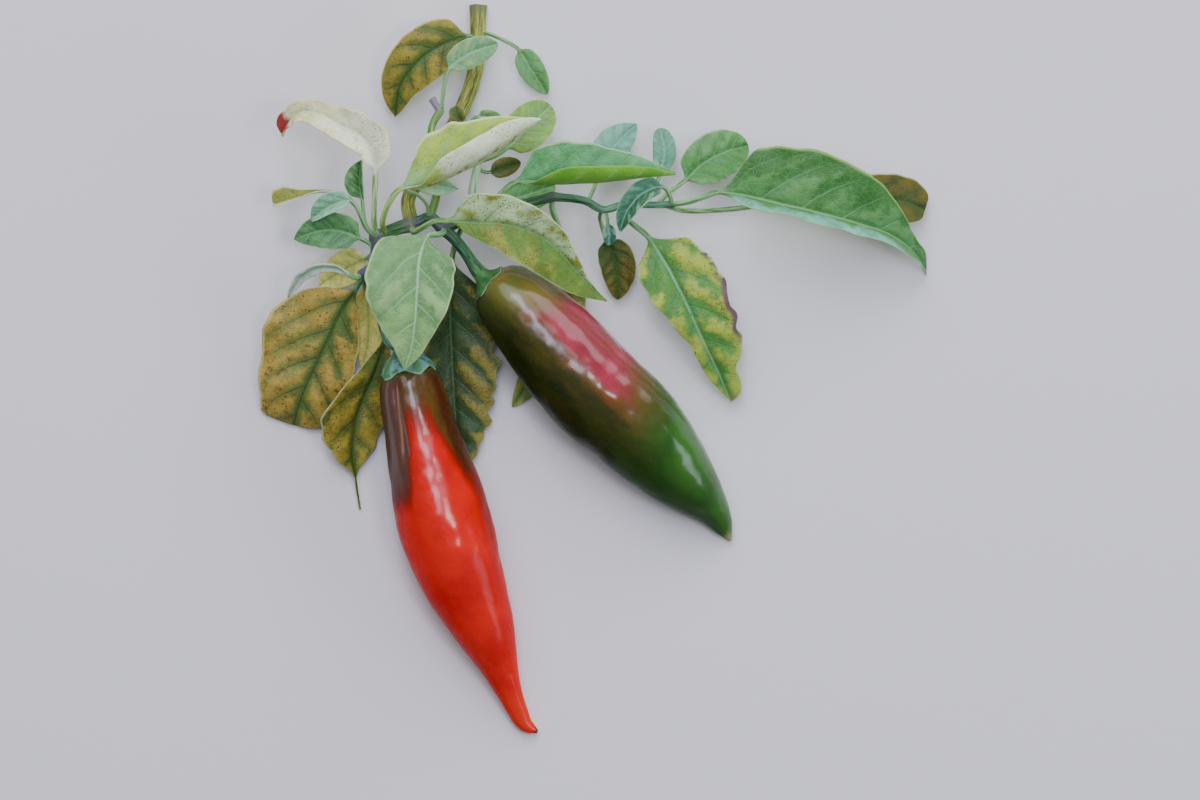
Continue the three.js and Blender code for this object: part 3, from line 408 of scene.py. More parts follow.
        "taper": 0.5, "fold": [10, 10], "wave": 0.03,
    },
    {
        "name": "olive_back_leaf", "look": "olive", "half": [3, 3],
        "stalk": [[-36.8, 69.6, 16.8], [-34.6, 68.4, 14.6]],
        "blade": [[-33, 68.4, 13.6], [-28.6, 70, 12.8], [-23.8, 71.4, 11.6]],
        "taper": 0.6, "wave": 0.03,
        "tones": {"face": (0.2, 0.24, 0.08)},
    },
    {
        "name": "green_back_leaf", "look": "green", "half": [6, 5.4],
        "stalk": [[-31, 56.7, 19], [-30.8, 58, 15.4]],
        "blade": [[-28.6, 59.4, 13.4], [-22.5, 61.5, 11.8], [-13.4, 64.6, 9.4]],
        "taper": 0.6, "fold": [4, 4],
        "tones": {"face": (0.12, 0.38, 0.09)},
    },
    {
        "name": "bud_leaf", "look": "blue_green", "half": [2.2, 2.2],
        "stalk": [[1.4, 57, 19.8], [2.2, 54.6, 19.6]],
        "blade": [[2.3, 53, 19], [2.8, 50, 17.8], [2.7, 46.2, 15.8]],
        "base": 0.6, "taper": 0.7, "fold": [20, 20], "wave": 0,
        "tones": {"left": (0.012, 0.08, 0.06), "right": (0.016, 0.1, 0.075), "vein_show": 0.3},
    },
    {
        "name": "small_right_leaf", "look": "blue_green", "half": [5.4, 4.4],
        "stalk": [[21.4, 58.6, 20.2], [20.8, 61.2, 23]],
        "blade": [[18.8, 63.6, 24.2], [12.4, 61.4, 25.4], [7.8, 55.8, 25], [6, 50.4, 23]],
        "fold": [60, 10], "curl": [10, 10],
        "tones": {"left": (0.028, 0.11, 0.02), "right": (0.06, 0.22, 0.11), "vein_show": 0.3},
    },
    {
        "name": "hanging_leaf", "look": "hanging", "half": [13, 8.4],
        "stalk": [[6, 58.2, 20], [6.8, 55.4, 17.2], [10.2, 52.4, 16.8]],
        "blade": [[14.4, 48.9, 17.4], [18.8, 42.3, 18.6], [24.6, 31.5, 18.8], [30.9, 18, 15.6],
            [36, 7.5, 10], [39.6, -0.6, 5]],
        "base": [0.35, 0.35], "taper": [0.6, 0.9], "fold": [4, 8], "curl": [-10, -10], "wave": 0.07,
        "veins": 5, "swell": 0.6, "ruffle": 0.5, "ragged": [0.14, 0.1], "notches": 14,
        "margins": [
            [[0, 0.7], [0.08, 0.82], [0.18, 1.02], [0.3, 1.08], [0.5, 0.96], [0.62, 0.98], [0.7, 1.02],
                [0.77, 0.96], [0.8, 0.74], [0.84, 0.7], [0.9, 0.92], [0.95, 1.1], [1, 1]],
            [[0, 1], [0.15, 1.15], [0.3, 1.12], [0.45, 0.85], [0.6, 0.66], [0.7, 0.8], [0.8, 0.92],
                [1, 0.9]],
        ],
    },
    {
        "name": "big_right_leaf", "look": "green", "half": [18.2, 9.2],
        "stalk": [[21.4, 58.5, 20.4], [27, 59.4, 21], [31.5, 60.9, 21.6]],
        "blade": [[35.4, 62.2, 22.6], [54, 58.6, 23.6], [73.5, 53.9, 21], [87.6, 49.4, 14.6],
            [95.4, 43.6, 7], [98.8, 38.2, 1.4]],
        "base": [0.5, 0.4], "taper": [1.05, 0.75], "fold": [6, 46], "curl": [4, 16], "veins": 6,
        "swell": 0.5, "ruffle": 0.45, "ragged": [0.05, 0.16], "notches": 16,
        "margins": [
            [[0, 1], [0.5, 1], [0.62, 0.95], [0.7, 0.78], [0.78, 0.56], [0.86, 0.55], [0.93, 0.8],
                [1, 1.1]],
            [[0, 0.62], [0.3, 0.62], [0.6, 0.7], [0.85, 1], [1, 1.2]],
        ],
        "tones": {
            # The right half's pale blue-green is partly its own tone and partly a painted bluish sheen.
            "left": (0.038, 0.165, 0.02), "right": (0.2, 0.54, 0.4), "patch": (0.1, 0.29, 0.07),
            "patch_margin": -1.0, "patch_tip": 0.7, "rim": (0.26, 0.46, 0.1),
        },
    },
    {
        "name": "olive_far_leaf", "look": "olive", "half": [7.6, 6.8],
        "stalk": [[19, 58.4, 19.8], [25.4, 56.8, 15.6], [42, 57.6, 13.6], [56, 60, 13.6]],
        "blade": [[66, 61.2, 13.6], [80, 60.8, 12.4], [90.6, 60, 9.4], [98, 57.4, 5.6]],
        "base": 0.6, "taper": 0.32, "fold": [6, 6], "wave": 0.03,
        "tones": {"face": (0.075, 0.075, 0.004), "patch": (0.12, 0.1, 0.008)},
    },
    {
        "name": "pale_far_leaf", "look": "blue_green", "half": [3.6, 3.6],
        "stalk": [[12, 58.4, 20], [14.6, 61.4, 15.4], [16.8, 64.6, 12.6]],
        "blade": [[18, 68, 11.4], [19.4, 75, 10.8], [18, 82, 9]],
        "taper": 0.5,
        "tones": {"face": (0.1, 0.34, 0.18), "vein_show": 0.25},
    },
    {
        "name": "round_far_leaf", "look": "green", "half": [7.4, 7.6],
        "stalk": [[17, 58.4, 20], [21, 62.4, 14.6]],
        "blade": [[25.6, 66, 12], [30.6, 70.8, 11], [37.4, 74.6, 10], [44.6, 76.6, 8]],
        "taper": 0.5, "fold": [6, 6],
        "tones": {"face": (0.07, 0.27, 0.04), "vein_show": 0.3},
    },
    {
        "name": "upper_far_leaf", "look": "blue_green", "half": [6, 5.4],
        "stalk": [[-3.6, 59.3, 20.2], [-1.6, 64, 14.4]],
        "blade": [[0.2, 68.4, 12.2], [4.5, 76.5, 11], [11.1, 83.1, 9]],
        "fold": [4, 4],
        "tones": {"face": (0.06, 0.32, 0.27), "vein_show": 0.25},
    },
    {
        "name": "olive_hanging_leaf", "look": "olive", "half": [6, 5],
        "stalk": [[0.4, 56.9, 19.6], [0, 54.4, 15.6], [0.8, 51.4, 13.2]],
        "blade": [[1.8, 48.6, 11.6], [5, 40.5, 8.4], [5.4, 30.2, 4.4]],
        "taper": 0.7, "veins": 5,
        "tones": {"face": (0.08, 0.13, 0.032)},
    },
    {
        "name": "yellow_top_leaf", "look": "orange", "half": [8, 8.6],
        "stalk": [[-37.4, 107, 3.8], [-38.2, 108.8, 7.4]],
        "blade": [[-40, 109.4, 9.6], [-47, 107, 12.4], [-54, 102.4, 13], [-60, 94.8, 10.4],
            [-61.8, 85.4, 5.4]],
        "taper": 0.85, "fold": [4, 4], "curl": [-6, -6], "wave": 0.05, "veins": 5,
        "tones": {"face": (0.13, 0.15, 0.02), "patch": (0.3, 0.25, 0.03)},
    },
    {
        "name": "pale_top_leaf", "look": "pale", "half": [4.4, 4.4],
        "stalk": [[-47.6, 87, 15.8], [-47.1, 91, 16.8], [-46.4, 95.6, 17.6]],
        "blade": [[-45.3, 99, 18.2], [-39.6, 103.5, 18.6], [-30.6, 106.8, 16.4]],
        "taper": 0.6, "fold": [6, 6],
        "tones": {"vein_show": 0.3},
    },
    {
        "name": "green_top_leaf", "look": "green", "half": [4.2, 3.8],
        "stalk": [[-36.9, 111.6, 3.2], [-33, 110.2, 6], [-27.6, 107.6, 7.6]],
        "blade": [[-24.6, 105.6, 8], [-20.8, 99.6, 7.4], [-15.9, 92.2, 5]],
        "taper": 0.7, "fold": [10, 10],
        "tones": {"face": (0.18, 0.32, 0.06), "vein_show": 0.3},
    },
]


# Curves and frames

def eased(start, leave, end, reach, part):
    """A place or number between two, which leaves the first and reaches the last at the given rates."""
    square = part * part
    cube = square * part
    value = start * (2 * cube - 3 * square + 1) + leave * (cube - 2 * square + part)
    return value + end * (3 * square - 2 * cube) + reach * (cube - square)


class Path:
    """A smooth centripetal curve through points, read by the share of its length."""

    def __init__(self, points, steps=48):
        knots = [Vector(point) for point in points]
        before = knots[0] * 2 - knots[1]
        after = knots[-1] * 2 - knots[-2]
        row = [before, *knots, after]
        self.places = []
        for index in range(len(knots) - 1):
            for step in range(steps):
                self.places.append(self.between(row[index:index + 4], step / steps))
        self.places.append(knots[-1])
        self.ways = [0.0]
        for here, there in zip(self.places, self.places[1:]):
            self.ways.append(self.ways[-1] + (there - here).length)
        self.length = self.ways[-1]
        self.steps = steps

    @staticmethod
    def between(four, part):
        first, start, end, last = four
        gaps = [max((b - a).length, 1e-6) ** 0.5 for a, b in ((first, start), (start, end), (end, last))]
        leave = (start - first) / gaps[0] - (end - first) / (gaps[0] + gaps[1]) + (end - start) / gaps[1]
        reach = (end - start) / gaps[1] - (last - start) / (gaps[1] + gaps[2]) + (last - end) / gaps[2]
        leave *= gaps[1]
        reach *= gaps[1]
        return eased(start, leave, end, reach, part)

    def spot(self, share):
        way = min(max(share, 0), 1) * self.length
        low = min(bisect.bisect_right(self.ways, way) - 1, len(self.ways) - 2)
        return low, (way - self.ways[low]) / max(self.ways[low + 1] - self.ways[low], 1e-9)

    def place(self, share):
        low, part = self.spot(share)
        return self.places[low].lerp(self.places[low + 1], part)

    def along(self, share):
        reach = 0.6 / self.length
        return (self.place(share + reach) - self.place(share - reach)).normalized()

    def share_at_knot(self, index):
        return self.ways[index * self.steps] / self.length


def level_frame(along):
    """Two directions across a way: one level, and one as near upright as the way lets it be."""
    across = Vector((0, 0, 1)).cross(along).normalized()
    return across, along.cross(across).normalized()


def blend(low, high, part):
    return low + (high - low) * part


def smooth_step(value, low, high):
    part = min(max((value - low) / (high - low), 0), 1)
    return part * part * (3 - 2 * part)


def smooth_value(knots, share):
    """A value read smoothly from a list of [share, value] knots."""
    index = 0
    while index < len(knots) - 2 and share > knots[index + 1][0]:
        index += 1

    def slope(at):
        low = knots[max(at - 1, 0)]
        high = knots[min(at + 1, len(knots) - 1)]
        return (high[1] - low[1]) / (high[0] - low[0])

    start = knots[index]
    end = knots[index + 1]
    span = end[0] - start[0]
    part = min(max((share - start[0]) / span, 0), 1)
    return eased(start[1], slope(index) * span, end[1], slope(index + 1) * span, part)


def in_metres(point):
    return (point - ORIGIN) * MM


def turns(count):
    """Even turns round a circle."""
    return [2 * math.pi * step / count for step in range(count)]


def point_about(centre, frame, radius, turn):
    across, up = frame
    return centre + across * (radius * math.cos(turn)) + up * (radius * math.sin(turn))


def closed_mesh(name, rings, places):
    """One closed smooth mesh over rings of points, with a vector stored at each point under each name."""
    sides = len(rings[0])
    points = [in_metres(point) for ring in rings for point in ring]
    faces = []
    for low in range(0, (len(rings) - 1) * sides, sides):
        for side in range(sides):
            following = (side + 1) % sides
            faces.append((low + side, low + following, low + sides + following, low + sides + side))
    stored = {key: [value for ring in places[key] for value in ring] for key in places}
    for ring, back in ((0, True), (len(rings) - 1, False)):
        centre = len(points)
        points.append(in_metres(sum((point for point in rings[ring]), Vector()) / sides))
        for key in places:
            stored[key].append(places[key][ring][0])
        for side in range(sides):
            here = ring * sides + side
            following = ring * sides + (side + 1) % sides
            faces.append((centre, following, here) if back else (centre, here, following))
    mesh = bpy.data.meshes.new(name)
    mesh.from_pydata(points, [], faces)
    mesh.shade_smooth()
    for key, rows in stored.items():
        layer = mesh.attributes.new(key, "FLOAT_VECTOR", "POINT")
        layer.data.foreach_set("vector", [number for row in rows for number in row])
    mesh.update()
    return mesh


def slot_of(node):
    """The record's material slot of a node."""
    return next(part["material_slot"] for part in frame["record"]["subparts"] if part["node"] == node)


def add_object(name, data):
    made = bpy.data.objects.new(name, data)
    bpy.context.scene.collection.objects.link(made)
    return made


def add_piece(name, mesh, node, material=None):
    """A finished piece that rides on the branch and stands for one of its nodes."""
    piece = add_object(name, mesh)
    if material:
        mesh.materials.append(material)
    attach(piece, "root")
    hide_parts(node)
    slot_of(node)


# Shader expressions

class Value:
    """A socket of a tree of nodes, which adds Math nodes when it is reckoned with."""

    def __init__(self, tree, socket):
        self.tree = tree
        self.socket = socket

    def reckon(self, operation, *others):
        return self.tree.node("ShaderNodeMath", {"operation": operation}, [self, *others])

    def __add__(self, other):
        return self.reckon("ADD", other)

    __radd__ = __add__

    def __mul__(self, other):
        return self.reckon("MULTIPLY", other)

    __rmul__ = __mul__

    def __sub__(self, other):
        return self.reckon("SUBTRACT", other)

    def __rsub__(self, other):
        return self.tree.node("ShaderNodeMath", {"operation": "SUBTRACT"}, [other, self])

    def __truediv__(self, other):
        return self.reckon("DIVIDE", other)

    def size(self):
        return self.reckon("ABSOLUTE")

    def nearest(self):
        return self.reckon("ROUND")

    def above(self, other):
        return self.reckon("GREATER_THAN", other)

    def most(self, other):
        return self.reckon("MAXIMUM", other)

    def least(self, other):
        return self.reckon("MINIMUM", other)

    def step(self, low, high):
        """0 below low, 1 above high, and smooth between them; low may be the higher of the two."""
        return self.tree.node(
            "ShaderNodeMapRange", {"interpolation_type": "SMOOTHSTEP"},
            {"Value": self, "From Min": low, "From Max": high})


class Tree:
    """A tree of nodes that is written as expressions on values."""

    def __init__(self, nodes):
        self.nodes = nodes

    def node(self, kind, settings, values, output=0):
        made = self.nodes.nodes.new(kind)
        for key, setting in settings.items():
            setattr(made, key, setting)
        for key, value in values.items() if isinstance(values, dict) else enumerate(values):
            if isinstance(value, Value):
                self.nodes.links.new(value.socket, made.inputs[key])
            else:
                made.inputs[key].default_value = value
        return Value(self, made.outputs[output])

    def parts(self, vector):
        made = self.nodes.nodes.new("ShaderNodeSeparateXYZ")
        self.nodes.links.new(vector.socket, made.inputs[0])
        return [Value(self, made.outputs[index]) for index in range(3)]

    def together(self, x, y, z):
        return self.node("ShaderNodeCombineXYZ", {}, [x, y, z])


class Look(Tree):
    """A material whose tree is written as expressions on values."""

    def __init__(self, name, **constants):
        self.material = bpy.data.materials.new(name)
        self.material.use_nodes = True
        super().__init__(self.material.node_tree)
        self.surface = self.nodes.nodes["Principled BSDF"]
        for socket, value in constants.items():
            self.surface.inputs[socket.replace("_", " ")].default_value = value

    def stored(self, name):
        """The three numbers of a vector that the mesh holds under this name."""
        return self.parts(self.node("ShaderNodeAttribute", {"attribute_name": name}, {}, "Vector"))

    def stored_number(self, name):
        return self.node("ShaderNodeAttribute", {"attribute_name": name}, {}, "Fac")

    def object_place(self):
        return self.node("ShaderNodeTexCoord", {}, {}, "Object")

    def noise(self, place, scale, detail=3.0, roughness=0.55):
        sizes = {"Vector": place, "Scale": scale, "Detail": detail, "Roughness": roughness}
        return self.node("ShaderNodeTexNoise", {}, sizes)

    def cells(self, place, scale, feature="F1", output="Distance"):
        sizes = {"Vector": place, "Scale": scale}
        return self.node("ShaderNodeTexVoronoi", {"feature": feature}, sizes, output)

    def mix(self, share, low, high):
        """A colour between two colours."""
        low = low if isinstance(low, Value) else (*low, 1)
        high = high if isinstance(high, Value) else (*high, 1)
        return self.node("ShaderNodeMix", {"data_type": "RGBA"}, {"Factor": share, 6: low, 7: high}, 2)

    def over(self, colour, *layers):
        """A colour under layers, each its share and its tone, the last on top."""
        for share, tone in layers:
            colour = self.mix(share, colour, tone)
        return colour

    def finish(self, colour, roughness, height, strength, distance):
        """Feeds the surface its colour, roughness and relief, and gives the material."""
        bump = self.node("ShaderNodeBump", {}, {"Strength": strength, "Distance": distance, "Height": height})
        for socket, value in (("Base Color", colour), ("Roughness", roughness), ("Normal", bump)):
            self.feed(socket, value)
        return self.material

    def feed(self, socket, value):
        self.nodes.links.new(value.socket, self.surface.inputs[socket])


# Leaves

def pair_of(value):
    return value if isinstance(value, list) else [value, value]


def outline_share(base, taper, share):
    """The half width as a share of the widest, from the neck to the tip."""
    share = min(max(share, 0), 1)
    widest = base / (base + taper)
    return (share ** base * (1 - share) ** taper) / (widest ** base * (1 - widest) ** taper)


def half_blade_point(width, fold, curl, out):
    """How far out and how far up a half blade lies at a share of the way to its margin, and its slope."""
    start = math.radians(fold)
    turn = math.radians(0.5 if abs(curl) < 0.5 else curl)
    angle = start + turn * out
    outward = width * (math.sin(angle) - math.sin(start)) / turn
    upward = width * (math.cos(start) - math.cos(angle)) / turn
    return outward, upward, angle


def carried_frame(frame, along):
    turn = frame[0].rotation_difference(along)
    across = frame[1].copy()
    across.rotate(turn)
    return along, across, along.cross(across).normalized()


def leaf_frames(leaf, path, shares, neck_share):
    """Frames along a leaf: level at the neck, and carried from there to both ends."""
    neck = shares.index(neck_share)
    along = path.along(neck_share)
    frames = {neck: (along, *level_frame(along))}
    for place in range(neck - 1, -1, -1):
        frames[place] = carried_frame(frames[place + 1], path.along(shares[place]))
    for place in range(neck + 1, len(shares)):
        frames[place] = carried_frame(frames[place - 1], path.along(shares[place]))
    turned = []
    for place, share in enumerate(shares):
        along, across, up = frames[place]
        blade_share = max(0, (share - neck_share) / (1 - neck_share))
        roll = Matrix.Rotation(math.radians(blend(*leaf["roll"], blade_share)), 3, along)
        turned.append((roll @ across, roll @ up))
    return turned


def vein_place(leaf, out, way, side):
    """Where a point lies between two side veins: 0 on a vein, half way at -0.5 and 0.5."""
    reach = abs(out)
    count = (way - VEIN_SLOPE * reach - VEIN_BEND * reach * reach) / leaf["vein_gap"] + VEIN_SHIFT * side
    return count - round(count)


def straight_value(table, share):
    """The value at a share, on straight lines between the rows of a table of shares and values."""
    for start, end in zip(table, table[1:]):
        if share <= end[0]:
            return blend(start[1], end[1], (share - start[0]) / (end[0] - start[0]))
    return table[-1][1]


def blade_relief(leaf, out, side, blade_share, width, way, seed):
    """How far the blade stands up between its veins and sinks along them, in millimetres."""
    reach = out * width
    between = vein_place(leaf, reach, way, side)
    inside = math.sin(math.pi * min(out * 1.05, 1)) ** 0.7 if 0 < out < 0.95 else 0
    swell = leaf["swell"] * min(width / 9, 1) * inside * (0.5 - math.cos(2 * math.pi * between) * 0.5)
    groove = leaf["swell"] * 0.8 * math.exp(-(reach / 0.9) ** 2)
    spot = Vector((reach * (1 if side else -1) * 0.11, way * 0.11, seed))
    uneven = noise.noise(spot) * leaf["swell"] * 1.6 * smooth_step(out, 0, 0.5)
    return (swell - groove) * smooth_step(blade_share, 0.02, 0.15) + uneven


def leaf_section(leaf, centre, frame, blade_share, way, stations):
    """One section: the upper face from the left margin to the right one, then the under face back."""
    across, up = frame
    bases = pair_of(leaf["base"])
    tapers = pair_of(leaf["taper"])
    outlined = blade_share / (1 - leaf["drip"])
    blade_part = smooth_step(blade_share, 0, 0.12)
    rolled = smooth_step(blade_share, 0.05, 0.35)
    rib = leaf["stalk_radius"] * MIDRIB * (1 - blade_share)
    stalk_radius = leaf["stalk_radius"] * (1 - 0.5 * blade_share)
    count = 2 * stations + 1
    ring = []
    places = []
    sizes = []
    for place in range(2 * count):
        on_top = place < count
        station = stations - place if on_top else place - count - stations
        out = abs(station) / stations
        side = 0 if station >= 0 else 1
        mirror = 1 if station >= 0 else -1
        outline = outline_share(bases[side], tapers[side], outlined)
        margin = leaf["margins"][side]
        if margin:
            given = straight_value(margin, outlined)
            outline = given if margin[0][1] == 0 else outline * given
        notch = Vector((blade_share * leaf["notches"], side * 7, leaf["seed"]))
        ragged = leaf["ragged"][side] * noise.noise(notch)
        full = leaf["half"][side]
        width = max(full * outline * (1 + ragged * smooth_step(out, 0.5, 1)), LEAST_HALF_WIDTH)
        phase = WAVES * blade_share + 2 * side
        wave = leaf["wave"] * width * out * out * math.sin(phase)
        ruffle = leaf["ruffle"] * out ** 4 * min(width / 8, 1) * math.sin(2.7 * phase + leaf["seed"])
        outward, upward, angle = half_blade_point(width, leaf["fold"][side], leaf["curl"][side] * rolled, out)
        lift = blade_relief(leaf, out, side, blade_share, width, way, leaf["seed"])
        keel = 0 if on_top else rib * math.exp(-((out * width) / (0.7 * leaf["stalk_radius"])) ** 2)
        skin = (0.5 if on_top else -0.5) * BLADE_THICKNESS * (1 - 0.5 * out ** 6) - keel + lift
        blade_across = mirror * (outward - (0 if station == 0 else skin * math.sin(angle)))
        blade_up = upward + skin * math.cos(0 if station == 0 else angle) + wave + ruffle
        turn = math.pi * (place + 0.5) / count
        point = centre.copy()
        point += across * blend(stalk_radius * math.cos(turn), blade_across, blade_part)
        point += up * blend(stalk_radius * math.sin(turn), blade_up, blade_part)
        ring.append(point)
        places.append((mirror * out * blade_part, blade_share, 1.0 if on_top else 0.0))
        sizes.append((mirror * out * width, way, 0))
    return ring, places, sizes


def make_leaf(given):
    """A leaf: a round stalk out of its limb that spreads into the blade."""
    leaf = {**USUAL_LEAF, **given}
    name = leaf["name"]
    path = Path([*leaf["stalk"], *leaf["blade"]])
    neck_share = path.share_at_knot(len(leaf["stalk"]))
    blade_length = path.length * (1 - neck_share)
    stations = max(5, round(max(leaf["half"]) / BLADE_STEP))
    stalk_steps = max(3, round(path.length * neck_share / STALK_STEP))
    blade_steps = max(16, round(blade_length / BLADE_STEP))
    shares = [neck_share * step / stalk_steps for step in range(stalk_steps)]
    for step in range(blade_steps + 1):
        even = step / blade_steps
        rounded = (1 - math.cos(math.pi * even)) / 2
        shares.append(blend(neck_share, 1, blend(even, rounded, 0.6)))
    shares[stalk_steps] = neck_share
    leaf["seed"] = leaf_seed(name)
    leaf["vein_gap"] = max(LEAST_VEIN_GAP, blade_length / leaf["veins"])
    leaf["stalk_radius"] = STALK_RADIUS * min(1, 0.5 + blade_length / 80)
    frames = leaf_frames(leaf, path, shares, neck_share)
    sections = []
    for place, share in enumerate(shares):
        blade_share = max(0, (share - neck_share) / (1 - neck_share))
        way = (share - neck_share) * path.length
        sections.append(leaf_section(leaf, path.place(share), frames[place], blade_share, way, stations))
    rings, places, sizes = zip(*sections)
    mesh = closed_mesh(name + "_blade", rings, {"leaf_place": places, "leaf_size": sizes})
    add_piece(name + "_blade", mesh, name, leaf_material(leaf))


def leaf_seed(name):
    """A number of its own for each leaf, the same in every run."""
    return sum((index + 1) * ord(letter) for index, letter in enumerate(name)) % 97 * 0.37


# Leaf tissue. Each look gives what differs from the usual one: the tones of the blade's left and right half
# seen from the stalk, or of its whole face; the patches between the veins, where they start and what draws
# them; the veins and the halo beside them; the rim; specks and mottles; a dry edge; the tip; and the under
# side, near its foot and beyond, or the whole back.

